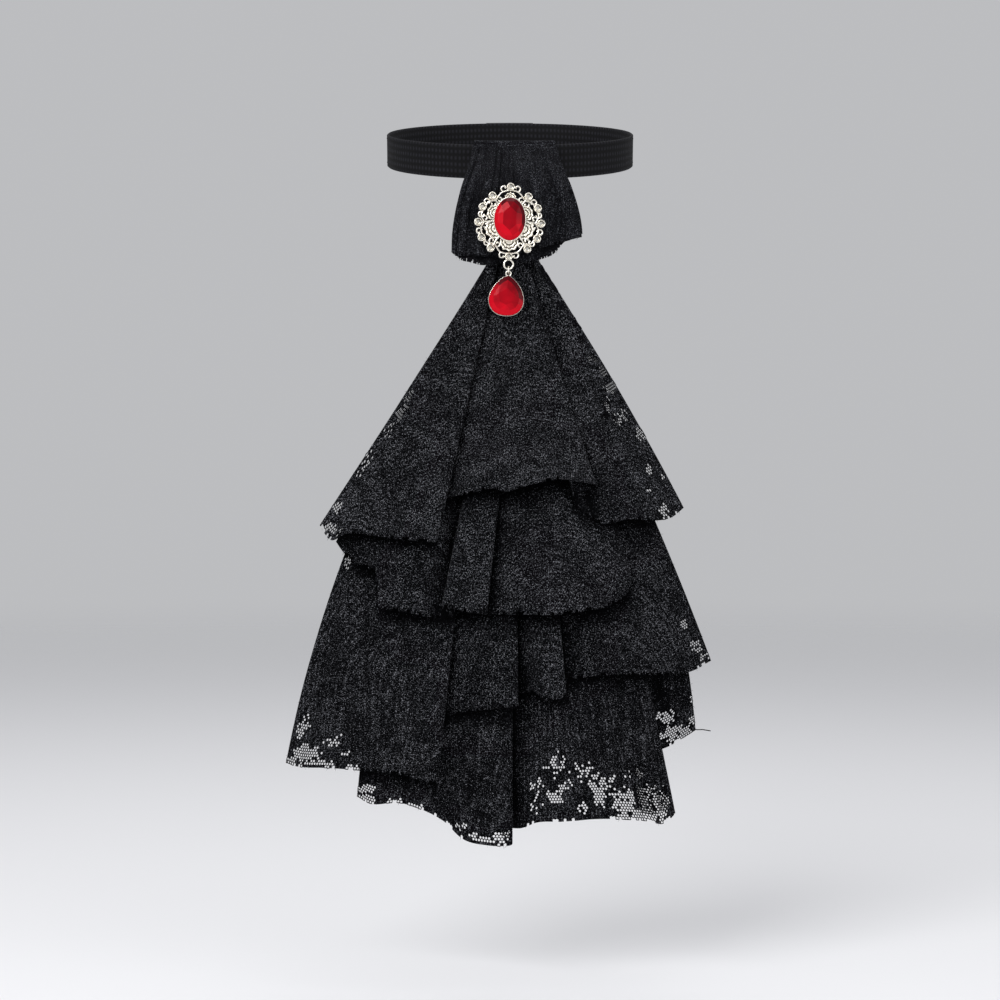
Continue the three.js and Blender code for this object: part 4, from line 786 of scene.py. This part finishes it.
# %% The knot's tables and paths
KNOT_COLUMNS = [
    (-0.9, 0.3, 0.95, 0.96), (-0.84, 0, 0.98, 1.01), (-0.68, 0.4, 0.982, 1.035), (-0.5, 0, 0.99, 1.06),
    (-0.32, 0.2, 1, 1.06), (-0.21, 1, 1, 1.05), (-0.08, 0.1, 1, 1.05), (0.05, 0.9, 0.99, 1.05),
    (0.19, 0, 0.965, 1.04), (0.35, 1, 0.94, 1.025), (0.52, 0.1, 0.915, 1.01), (0.7, 0.5, 0.885, 0.97),
    (0.9, 0, 0.85, 0.86), (1.1, 0.4, 0.815, 0.8),
]
KNOT_FRONT_PATH = [
    (0.64, 0.03, 0.045), (0.66, 0.17, 0.1), (0.7, 0.5, 0.205), (0.76, 0.8, 0.32), (0.84, 1, 0.45),
    (0.93, 1, 0.64), (0.985, 1, 0.83), (1, 0.985, 1),
]
KNOT_WALL, KNOT_CREASE, KNOT_TAB = 1.2, 1.1, 6.0
NECK_STEP = 2 * FOLD_PITCH + CLOTH_WALL + CLEARANCE
STACK_FRONT = STACK_REAR + (TIER_COUNT - 1) * NECK_STEP + 2 * FOLD_PITCH + CLOTH_WALL / 2


def round_loss(x):
    """How far the round band falls back at a distance x from its front."""
    return NECK_RADIUS - np.sqrt(NECK_RADIUS ** 2 - x ** 2)


UNDER_MIDDLE = STACK_FRONT + CLEARANCE + CLOTH_WALL / 2 + round_loss(GATHER_WIDTH / 2 + CLOTH_WALL)
KNOT_FRONT = UNDER_MIDDLE + CLOTH_WALL / 2 + CLEARANCE + KNOT_CREASE + KNOT_WALL / 2


def turned(x, y, angle):
    """A point's two places after a turn about the origin, clockwise."""
    c, s = math.cos(angle), math.sin(angle)
    return x * c + y * s, y * c - x * s


def knot_stations():
    """Rows of depth, height, width, crease and fall, from the tab behind the band to the front hem."""
    away, top = BAND_WALL / 2 + CLEARANCE + KNOT_WALL / 2, BAND_WIDTH / 2
    back = [(-away, -top - KNOT_TAB, 0.5), (-away, -top + KNOT_TAB / 2, 0.56), (-away, top, 0.62),
            (-away / 2, top + away * 0.9, 0.63), (away / 2, top + away * 0.9, 0.63), (away, top, 0.64)]
    rows = [(*turned(NECK_RADIUS + out, up, BAND_TILT), width, 0, 0) for out, up, width in back]
    start = rows[-1][0]
    rows += [(lerp(start, KNOT_FRONT, reach), KNOT_TOP, width, min(reach * 1.2, 1) * KNOT_CREASE, fall)
             for width, reach, fall in KNOT_FRONT_PATH]
    return np.array(rows)


def knot_grid():
    """Points of the wrap, [station][column], before the creases."""
    across, valley, hem, _ = np.array(KNOT_COLUMNS).T
    depth, z, width, crease, fall = (column[:, None] for column in knot_stations().T)
    x = across * width * KNOT_WIDTH / 2
    loss = round_loss(x)
    y = -(depth - loss * lerp(math.cos(BAND_TILT), 1, fall) - valley * crease)
    z = z + loss * math.sin(BAND_TILT) * (1 - fall) - fall * lerp(1, hem, fall) * KNOT_HEIGHT
    return np.stack(np.broadcast_arrays(x, y, z), axis=-1)


print("knot front at", round(KNOT_FRONT, 2), "mm")

# %% Knot and underlay
# CREASE_SHADE is how dark the painted shade in the deepest creases is.
CREASE_SHADE, DEEPEST, FADE_IN, FADE_OUT = 0.22, 1.4, 0.12, 0.15
MISSING_SQUARES, MISSING_TWO, HEM_END_LENGTH, HEM_END_SHARE = 0.2, 0.3, 1.7, 0.18


def smooth_both_ways(grid, across, along):
    """Catmull-Rom across and then along a grid of points."""
    wide = through_rows(grid, [across] * (grid.shape[1] - 1))
    return through_rows(wide.transpose(1, 0, 2), [along] * (len(grid) - 1)).transpose(1, 0, 2)


def creased(grid, front_from, depth, waves, seed):
    """Pushes the sheet inwards along fine creases that wander and fade, and adds painted shade that grows
    with each crease's depth.
    """
    rng = np.random.default_rng(seed)
    along = np.linspace(0, 1, len(grid))[:, None]
    across = np.linspace(-1, 1, grid.shape[1])[None, :]
    total = np.zeros(grid.shape[:2])
    for _ in range(waves):
        place, slope, width = rng.uniform(-1, 1), rng.uniform(-0.25, 0.25), rng.uniform(0.018, 0.05)
        start, stop = np.sort(rng.uniform(0.2, 1.25, 2))
        line = place * (0.75 + 0.3 * along) + slope * (along - 0.5) ** 2
        fade = np.clip((along - start) / FADE_IN, 0, 1) * np.clip((stop + 0.2 - along) / FADE_OUT, 0, 1)
        total += fade * rng.uniform(0.35, 1) * np.exp(-((across - line) / width) ** 2)
    total = np.minimum(total, DEEPEST) * np.clip((along - front_from) / 0.1, 0, 1)
    grid[..., 1] += depth * total
    # The fourth number is the painted shade in the creases.
    return np.dstack([grid, CREASE_SHADE * total])


def cloth_piece(name, grid, wall, node, rng, seed):
    """A thick cloth object from a grid that hangs, with a ragged hem and loose ends on it."""
    rows, columns = grid.shape[:2]
    gone = np.zeros((rows - 1, columns - 1), bool)
    gone[-1] = rng.random(columns - 1) < MISSING_SQUARES
    gone[-2] = gone[-1] & (rng.random(columns - 1) < MISSING_TWO)
    corners = [int(r * columns + c) for r, c in zip(*np.nonzero(~gone))]
    faces = [(k, k + columns, k + columns + 1, k + 1) for k in corners]
    cloth = cloth_wall(name, grid.reshape(-1, 4), faces, DRAWN_LACE, wall)
    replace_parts(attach(cloth, "jabot"), node)
    hem = grid[-1, :, :3]
    outward = [[0, -0.1, -1]] * len(hem)
    ends = thread_ends(f"{name}_ends", hem, outward, HEM_END_LENGTH, seed, HEM_END_SHARE)
    print(name, "faces", len(cloth.data.polygons))


wrap = creased(smooth_both_ways(knot_grid(), 12, 9), front_from=0.45, depth=0.95, waves=70, seed=3)
cloth_piece("knot_cloth", wrap, wall=0.9, node="knot_wrap", rng=np.random.default_rng(5),
            seed=31)
across, _, _, under = np.array(KNOT_COLUMNS).T
share = np.linspace(0, 1, 6)[:, None]
under_x = across * lerp(0.8, 0.92, share) * KNOT_WIDTH / 2
under_z = KNOT_TOP - lerp(0.55, under, share) * KNOT_HEIGHT
under_grid = np.stack([under_x, round_loss(under_x) - UNDER_MIDDLE, under_z], axis=-1)
under_layer = creased(smooth_both_ways(under_grid, 10, 7), front_from=0, depth=0.4, waves=30, seed=9)
# Painted shadow on the underlay just below the wrap's hem.
under_layer[..., 3] = np.maximum(under_layer[..., 3], painted_hem_shadow(under_layer, wrap[-1]))
cloth_piece("knot_under_cloth", under_layer, wall=0.6, node="knot_underlay", rng=np.random.default_rng(6),
            seed=32)
bpy.data.objects.remove(SPIKE)

# %% [markdown]
# The band is a firm woven ribbon. It is a ring about the neck, tilted 15 degrees, with rounded
# selvedges and a raised line of stitches near each. Its own UV map follows it round, for the ribs.

# %% Neck band
BAND_STEPS, STITCH_LINE = 240, [(0.5, 0), (1.6, 0), (2.0, 0.12), (2.4, 0)]


def ring_faces(count, sides, closed):
    """Quads between each ring of points and the next, all the way round, each ring closed or open."""
    return [(i * sides + k, i * sides + (k + 1) % sides,
             (i + 1) % count * sides + (k + 1) % sides, (i + 1) % count * sides + k)
            for i in range(count) for k in range(sides if closed else sides - 1)]


def band_ring(name, section):
    """A closed tilted ring from (radius, height) section points, with a UV map in metres."""
    sides, points = len(section), []
    for angle in around(BAND_STEPS):
        for radius, up in section:
            z, y = turned(up, radius * math.cos(angle), BAND_TILT)
            points.append((radius * math.sin(angle), y, z))
    made = mesh_object(name, points, ring_faces(BAND_STEPS, sides, True), material=BAND, smooth=True)
    layer = made.data.uv_layers.new(name="weave")
    for polygon in made.data.polygons:
        i, k = divmod(polygon.index, sides)
        for loop, (step, side) in zip(polygon.loop_indices, ((0, 0), (0, 1), (1, 1), (1, 0))):
            layer.data[loop].uv = ((i + step) / BAND_STEPS * 2 * math.pi * NECK_RADIUS * MM,
                                   section[(k + side) % sides][1] * MM)
    return made


half, outside, inside = BAND_WIDTH / 2, NECK_RADIUS + BAND_WALL / 2, NECK_RADIUS - BAND_WALL / 2
lower = [(outside + raised, up - half) for up, raised in STITCH_LINE]
upper = [(radius, -up) for radius, up in reversed(lower)]
rear = [(inside, half - STITCH_LINE[0][0]), (inside, STITCH_LINE[0][0] - half)]
band = band_ring("neck_band_ribbon", [(NECK_RADIUS, -half), *lower, *upper, (NECK_RADIUS, half), *rear])
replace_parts(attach(band, "jabot"), "neck_band")


def refinish(node_name, material):
    """Gives a CAD node that stays as it is a finish of its own."""
    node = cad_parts[node_name]
    node.data.materials.clear()
    node.data.materials.append(material)


refinish("neck_clasp", CLASP_BLACK)
print("band faces", len(band.data.polygons))

# %% [markdown]
# The brooch is cast filigree: a bezel with a beaded edge, six ribbed shells round it, twelve small
# cups, and wire scrolls that tie them together. It is drawn flat, in millimetres, with its front
# towards +z, from the CAD source's table of cups, and then stood up on the knot. Columns: place
# across and up as shares of the half size, and whether outward scrolls flank the cup.

# %% The brooch's tables and places
CUPS = [(0, 1, True), (0.57, 0.735, False), (0.875, 0.41, True), (1, -0.03, False), (0.88, -0.465, True),
        (0.58, -0.77, False), (0, -1, True), (-0.58, -0.77, False), (-0.88, -0.465, True),
        (-1, -0.03, False), (-0.875, 0.41, True), (-0.57, 0.735, False)]
BROOCH_WIDTH, BROOCH_HEIGHT, BROOCH_TURN, BROOCH_PLATE = 27.3, 30.1, math.radians(1.7), 1.2
STONE_WIDTH, STONE_HEIGHT, STONE_RISE, RHINESTONE, CUP_WALL, WIRE = 13.2, 18.2, 3.4, 2.3, 0.35, 0.8
BAIL_RADIUS, RING_RADIUS, LOOP_RADIUS = 2.0, 1.5, 1.1
CUP_RADIUS = RHINESTONE / 2 + 0.6 * CLEARANCE + CUP_WALL
STONE_CENTRE = np.array([0, 0.076 * BROOCH_HEIGHT / 2])
BROOCH_BACK = KNOT_FRONT + KNOT_WALL / 2 + CLEARANCE
BROOCH_X, BROOCH_Z = -0.018 * BROOCH_WIDTH, KNOT_TOP - 0.722 * KNOT_HEIGHT
cup_places = [np.array([x * BROOCH_WIDTH / 2, y * BROOCH_HEIGHT / 2]) for x, y, _ in CUPS]
bail_centre = np.array([0, cup_places[6][1] - CUP_RADIUS - BAIL_RADIUS + WIRE / 2])


def stand_up(points):
    """From the flat drawing to the place on the knot."""
    x, y, z = np.asarray(points, dtype=float).T
    right, up = turned(x, y, BROOCH_TURN)
    return np.stack([BROOCH_X + right, -BROOCH_BACK - z, BROOCH_Z + up], axis=1)


def outwards(place):
    """The direction from the stone's centre to a place."""
    return (place - STONE_CENTRE) / np.linalg.norm(place - STONE_CENTRE)


def oval_reach(out, rim=0.0):
    """From the stone's centre to its edge, made larger by a rim, along a direction."""
    return 1 / math.hypot(2 * out[0] / (STONE_WIDTH + rim), 2 * out[1] / (STONE_HEIGHT + rim))


def arc_line(centre, radius, start, stop, steps):
    """Points of an arc in degrees."""
    angles = np.radians(np.linspace(start, stop, steps + 1))
    return np.stack([centre[0] + radius * np.cos(angles), centre[1] + radius * np.sin(angles)], axis=1)


def smooth_line(points, steps):
    """Catmull-Rom through flat points."""
    points = np.asarray(points, dtype=float)
    return through_rows(points[None], [steps] * (len(points) - 1))[0]


print("brooch centre", round(BROOCH_X, 2), round(BROOCH_Z, 2))

# %% [markdown]
# The casting's finish is the same plating, mixed to a duller grey at its lowest half millimetre,
# nearest its back.

# %% The casting's finish
CAST = SILVER.copy()
CAST.name = "silver_plated_casting"
cast_tree, cast_shader = CAST.node_tree, CAST.node_tree.nodes["Principled BSDF"]
cast_depth = add_node(cast_tree, "SeparateXYZ", {0: add_node(cast_tree, "TexCoord", out="Object")}, "Y")
raised = add_node(cast_tree, "MapRange", {
    "Value": cast_depth, "From Min": -(BROOCH_BACK + 0.45) * MM, "From Max": -(BROOCH_BACK + 0.95) * MM},
    interpolation_type="SMOOTHSTEP")
plating_tone = cast_shader.inputs["Base Color"].links[0].from_socket
greyer_near_back = add_node(cast_tree, "Mix", {"Factor": raised, 6: linear("#6a655b"), 7: plating_tone}, 2, data_type="RGBA")
cast_tree.links.new(greyer_near_back, cast_shader.inputs["Base Color"])
print("casting finish:", CAST.name)

# %% [markdown]
# The scrolls are round wire in the casting, about 0.7 mm thick. Each is a line here, and the thread
# tree of the net, with more sides, turns them all into wire at once.

# %% Wires of the brooch
OUTER_CURL, INNER_CURL = (1.78, 0.45, 0.7, 205, -60), (0.98, 1.85, 0.52, 20, 250)
SCROLL_HEIGHT, SCROLL_RADIUS, BAIL_HEIGHT, BAIL_WIRE, BEZEL_RIM = 0.62, 0.36, 0.6, 0.42, 0.6
wires = []
for i, (_, _, scrolled) in enumerate(CUPS):
    place, following = cup_places[i], cup_places[(i + 1) % len(CUPS)]
    out = outwards(place)
    side, axis = np.array([-out[1], out[0]]), math.degrees(math.atan2(out[1], out[0]))
    foot = lerp(STONE_CENTRE, place, 0.92 if scrolled else 0.82)
    next_foot = lerp(STONE_CENTRE, following, 0.82 if scrolled else 0.92)
    bow = lerp(STONE_CENTRE, (place + following) / 2, 0.97)
    wires.append(smooth_line([foot, bow, next_foot], 8))
    if not scrolled:
        wires.append([STONE_CENTRE + out * oval_reach(out, BEZEL_RIM), place - out * CUP_RADIUS * 0.9])
    aside, inward, radius, start, stop = OUTER_CURL if scrolled else INNER_CURL
    for hand in (-1, 1):
        centre = place + side * hand * aside * CUP_RADIUS - out * inward * CUP_RADIUS
        curl = arc_line(centre, radius * CUP_RADIUS, axis + hand * start, axis + hand * stop, 14)
        wires.append(np.vstack([curl, lerp(curl[-1], centre, 0.35), lerp(curl[-1], centre, 0.55)]))


def silver_wire(name, points, links, radius, sides, body):
    """Round wire along the links between points, riding on a body."""
    made = grow(mesh_object(name, points, [], links), thread_tree, {
        "Radius": radius * MM, "Sides": sides, "Finish": SILVER})
    made.data.shade_smooth()
    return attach(made, body)


def flat_wires(name, lines, height, radius, sides):
    """Flat lines, at a height in front of the brooch's back, as one object of round wire."""
    points, links = [], []
    for line in lines:
        links += [(k, k + 1) for k in range(len(points), len(points) + len(line) - 1)]
        points += [(x, y, height) for x, y in line]
    return silver_wire(name, stand_up(points), links, radius, sides, "jabot")


scrolls = flat_wires("brooch_scrolls", wires, SCROLL_HEIGHT, SCROLL_RADIUS, 8)
flat_wires("brooch_bail", [arc_line(bail_centre, BAIL_RADIUS, 0, 360, 36)], BAIL_HEIGHT, BAIL_WIRE, 10)
print("scroll lines", len(wires), "faces", len(scrolls.data.polygons))

# %% [markdown]
# Shells, cups and bezel are raised relief. A shell is a fan of three ridges that bow round the
# bezel, with fluted edges. A cup is a turned ring on a small disc. The bezel has a beaded edge that
# holds the stone. They are surfaces over polar grids, made solid by closing them at the back.

# %% Relief surfaces
SHELL_HALF_ANGLE, SHELL_RAYS, SHELL_RINGS, FLUTES = 92, 41, 25, 11
CUP_PROFILE = [(0.0, 0.9), (0.62, 0.9), (0.72, 1.3), (0.8, 1.95), (0.9, 2.04), (1.0, 1.9), (1.03, 1.2),
               (1.04, 0.3)]
BEZEL_PROFILE = [(0.82, 0.7), (0.955, 0.95), (0.985, 2.0), (1.02, 2.16), (1.07, 1.9), (1.09, 0.9)]


def polar_patch(centre, angles, radii, height, closed):
    """A top over a polar grid, whose height takes angle and share outwards, a flat back and walls."""
    rows, columns = radii.shape
    count, share = rows * columns, np.linspace(0, 1, columns)
    top = [(centre[0] + r * math.cos(a), centre[1] + r * math.sin(a), height(a, s))
           for a, row in zip(angles, radii) for r, s in zip(row, share)]
    upper = ring_faces(rows, columns, False)[:None if closed else 1 - columns]
    under = [tuple(k + count for k in reversed(face)) for face in upper]
    edges = {(face[k - 1], face[k]) for face in upper for k in range(4)}
    walls = [(b, a, a + count, b + count) for a, b in sorted(edges) if (b, a) not in edges]
    return top + [(x, y, 0.0) for x, y, _ in top], upper + under + walls


def shell(place):
    """A fan between bezel and cup, ridged like a shell."""
    out = outwards(place)
    edge, turn = oval_reach(out, BEZEL_RIM), math.atan2(out[1], out[0])
    reach = 0.86 * (np.linalg.norm(place - STONE_CENTRE) - edge - CUP_RADIUS) + 0.4
    aside = np.linspace(-1, 1, SHELL_RAYS)
    angles = turn + np.radians(SHELL_HALF_ANGLE * aside)
    wide = reach * (1 + 0.05 * np.cos(FLUTES * (angles - turn))) * (1 - 0.12 * np.abs(aside) ** 3)
    radii = np.outer(wide, np.linspace(0.12, 1, SHELL_RINGS))

    def ridges(a, s):
        """Height at an angle and a share outwards."""
        return 0.35 + 0.68 * abs(math.sin(3 * math.pi * s)) ** 0.9 + 0.14 * math.cos(FLUTES * (a - turn)) * s

    return polar_patch(STONE_CENTRE + out * (edge - 0.4), angles, radii, ridges, False)


def turned_rim(centre, waves, profile):
    """A closed rim of (radius, height) profile points, its radii times the waves of its outline."""
    radii = np.outer(waves, [r for r, _ in profile])
    return polar_patch(centre, around(len(waves)), radii,
                       lambda a, s: profile[round(s * (len(profile) - 1))][1], True)


def worked(made, step):
    """Passes the object's mesh through a step of bmesh, and points its faces outward."""
    work = bmesh.new()
    work.from_mesh(made.data)
    step(work)
    bmesh.ops.recalc_face_normals(work, faces=work.faces)
    work.to_mesh(made.data)
    work.free()
    return made


def joined(name, parts, material, place):
    """Several (points, faces) as one smooth object, with its doubles merged."""
    points, faces = [], []
    for part_points, part_faces in parts:
        faces += [tuple(len(points) + i for i in face) for face in part_faces]
        points += list(part_points)
    made = mesh_object(name, place(points), faces, material=material, smooth=True)
    return worked(made, lambda work: bmesh.ops.remove_doubles(work, verts=work.verts, dist=MERGE))


MERGE = 0.001 * MM
relief_parts = [turned_rim(STONE_CENTRE, [oval_reach((math.cos(a), math.sin(a))) for a in around(96)],
                           BEZEL_PROFILE)]
cup_waves = 1 + 0.045 * np.cos(8 * around(24))
cup_profile = [(CUP_RADIUS * r + 0.02, z) for r, z in CUP_PROFILE]
relief_parts += [turned_rim(place, cup_waves, cup_profile) for place in cup_places]
relief_parts += [shell(place) for place, (_, _, scrolled) in zip(cup_places, CUPS) if scrolled]
casting = joined("brooch_casting", relief_parts, CAST, stand_up)
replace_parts(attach(casting, "jabot"), "brooch_frame")
print("casting faces", len(casting.data.polygons))

# %% [markdown]
# The bezel's edge is milled into beads that grip the stone, and each cup has four. A Geometry Nodes
# tree sets one small ball on every point it is given, each a little larger or smaller.

# %% Beads
BEZEL_BEADS, CUP_BEADS, BEAD_RADIUS = 56, 4, 0.3
bead_tree, given = start_tree("beads_on_points", {"Radius": "Float", "Seed": "Int"})
ball = add_node(bead_tree, "GeometryNodeMeshIcoSphere", {"Radius": given["Radius"], "Subdivisions": 2})
bead_size = add_node(bead_tree, "FunctionNodeRandomValue", {"Min": 0.85, "Max": 1.1, "Seed": given["Seed"]},
                     "Value", data_type="FLOAT")
balls = add_node(bead_tree, "GeometryNodeInstanceOnPoints", {
    "Points": given["Geometry"], "Instance": ball, "Scale": bead_size})
end_tree(bead_tree, balls, given)
spots = []
for a in around(BEZEL_BEADS):
    out = np.array([math.cos(a), math.sin(a)])
    spots.append((*(STONE_CENTRE + out * 1.045 * oval_reach(out)), 2.15))
for place in cup_places:
    for a in around(CUP_BEADS) + math.pi / 4:
        spots.append((*(place + 0.8 * CUP_RADIUS * np.array([math.cos(a), math.sin(a)])), 2.0))
beads = grow(mesh_object("brooch_beads", stand_up(spots), []), bead_tree, {
    "Radius": BEAD_RADIUS * MM, "Seed": 4, "Finish": SILVER})
beads.data.shade_smooth()
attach(beads, "jabot")
print("beads", len(spots))

# %% [markdown]
# Both red stones are moulded acrylic with large facets and a foil back. Their outlines are smooth,
# and the facets run from the girdle to a broad table. The body of each is the hull of a few rings.
# Columns of the first table: width, height, points and turn of an oval ring, and how far up it is.
# The pear's are places across and down its right side, as shares.

# %% Stones
OVAL_RINGS = [(0.75, 0.75, 24, 0, 0), (1, 1, 72, 0, 0.3), (1, 1, 72, 0, 0.42),
              (0.82, 0.84, 12, math.pi / 12, 0.8), (0.5, 0.56, 6, 0, 1)]
PEAR = [(0, 0), (0.3, 0.075), (0.6, 0.2), (0.86, 0.37), (1, 0.57), (0.95, 0.75), (0.74, 0.89),
        (0.4, 0.975), (0, 1)]
SEAT, FLAT_WITHIN = BROOCH_PLATE * 0.8 + CLEARANCE * 0.7, math.radians(1.5)


def pear_outline(width, height, steps):
    """A pear with its tip up, about its middle."""
    right = smooth_line([(a * width / 2, (0.5 - d) * height) for a, d in PEAR], steps)
    return np.concatenate([right, right[-2:0:-1] * [-1, 1]])


def cut_hull(work):
    """Leaves the hull of the points, with its flat stretches as single facets."""
    bmesh.ops.convex_hull(work, input=work.verts)
    bmesh.ops.delete(work, geom=[v for v in work.verts if not v.link_faces], context="VERTS")
    bmesh.ops.dissolve_limit(work, angle_limit=FLAT_WITHIN, verts=work.verts, edges=work.edges)


def cut_stone(name, rings, place, body, node):
    """A faceted red stone: the hull of outline rings, each with its height."""
    points = place([(x, y, height) for outline, height in rings for x, y in outline])
    made = worked(mesh_object(name, points, [], material=RED), cut_hull)
    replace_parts(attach(made, body), node)
    print(name, "facets", len(made.data.polygons))


oval_rings = []
for wide, tall, count, turn, up in OVAL_RINGS:
    a = around(count) + turn
    ring = np.stack([STONE_WIDTH * wide / 2 * np.sin(a), STONE_HEIGHT * tall / 2 * np.cos(a)], axis=1)
    oval_rings.append((STONE_CENTRE + ring, SEAT + STONE_RISE * up))
cut_stone("brooch_stone_cut", oval_rings, stand_up, "jabot", "brooch_stone")
for i in range(len(CUPS)):
    refinish(f"rhinestone_{i + 1:02d}", CRYSTAL)

# %% [markdown]
# The drop hangs by its loop from the jump ring, which passes through the bail. Its setting is a
# thin cup, so the stone nearly covers it and only a bright line of rim shows. It leans five degrees,
# as the photograph's does.

# %% Jump ring and loop
DROP_WIDTH, DROP_HEIGHT, DROP_LEAN, DROP_DEPTH = 15.4, 18.0, math.radians(5), 3.2
HANG_DEPTH = BROOCH_BACK + BROOCH_PLATE / 2
HANG_X, _, bail_z = stand_up([(*bail_centre, 0)])[0]
RING_Z = bail_z - BAIL_RADIUS + WIRE + CLEARANCE - RING_RADIUS


def hang_drop(points):
    """From the drop's flat drawing, its loop's centre at the origin, to where it hangs."""
    x, y, z = np.asarray(points, dtype=float).T
    right, up = turned(x, y, DROP_LEAN)
    return np.stack([HANG_X + right, -HANG_DEPTH - z, RING_Z - RING_RADIUS + up], axis=1)


def wire_ring(name, radius, count, place, wire, body):
    """A closed ring of round wire, drawn flat and then placed."""
    a = around(count)
    flat = np.stack([radius * np.cos(a), radius * np.sin(a), np.zeros(count)], axis=1)
    return silver_wire(name, place(flat), [(i, (i + 1) % count) for i in range(count)], wire, 10, body)


jump_ring = wire_ring("jump_ring_wire", RING_RADIUS, 32,
                      lambda flat: flat[:, [2, 0, 1]] + [HANG_X, -HANG_DEPTH, RING_Z], WIRE / 2, "ring")
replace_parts(jump_ring, "jump_ring")
wire_ring("drop_loop", LOOP_RADIUS, 28, hang_drop, WIRE * 0.4, "drop")
print("jump ring centre", round(HANG_X, 2), round(RING_Z, 2))

# %% The drop's setting and stone
BACK, FRONT = -DROP_DEPTH / 2, DROP_DEPTH * 0.12
MIDDLE = [0, -LOOP_RADIUS * 0.55 - DROP_HEIGHT / 2]
RIM_PROFILE = [(0.0, BACK + 0.6), (0.9, BACK + 0.6), (0.962, BACK + 0.7), (0.966, FRONT),
               (0.983, FRONT + 0.12), (1.0, FRONT - 0.05), (0.99, BACK + 0.5), (0.93, BACK)]
STONE_SHARE, STONE_FLOOR = 0.96, BACK + 0.7 + CLEARANCE
PEAR_RINGS = [(0.9, 3, 0), (0.975, 6, 0.7), (1.0, 6, 1.5), (0.76, 1, 2.6)]
TABLE, TABLE_SHARE, TABLE_UP = [
    (0, 0.22), (0.3, 0.02), (0.22, -0.22), (0, -0.3), (-0.22, -0.22), (-0.3, 0.02)], 0.8, 3.0
sides, outline = len(RIM_PROFILE), pear_outline(DROP_WIDTH, DROP_HEIGHT, 6)
setting_points = [(*(point * r + MIDDLE), z) for point in outline for r, z in RIM_PROFILE]
setting_faces = ring_faces(len(outline), sides, False)
setting_faces.append(tuple(i * sides + sides - 1 for i in range(len(outline))))
setting = joined("drop_setting", [(setting_points, setting_faces)], SILVER, hang_drop)
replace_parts(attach(setting, "drop"), "drop_frame")
size = np.array([DROP_WIDTH, DROP_HEIGHT]) * STONE_SHARE
pear_rings = [(pear_outline(*(size * share), steps) + MIDDLE, STONE_FLOOR + up)
              for share, steps, up in PEAR_RINGS]
pear_rings.append((np.array(TABLE) * size * TABLE_SHARE + MIDDLE, STONE_FLOOR + TABLE_UP))
cut_stone("drop_stone_cut", pear_rings, hang_drop, "drop", "drop_stone")
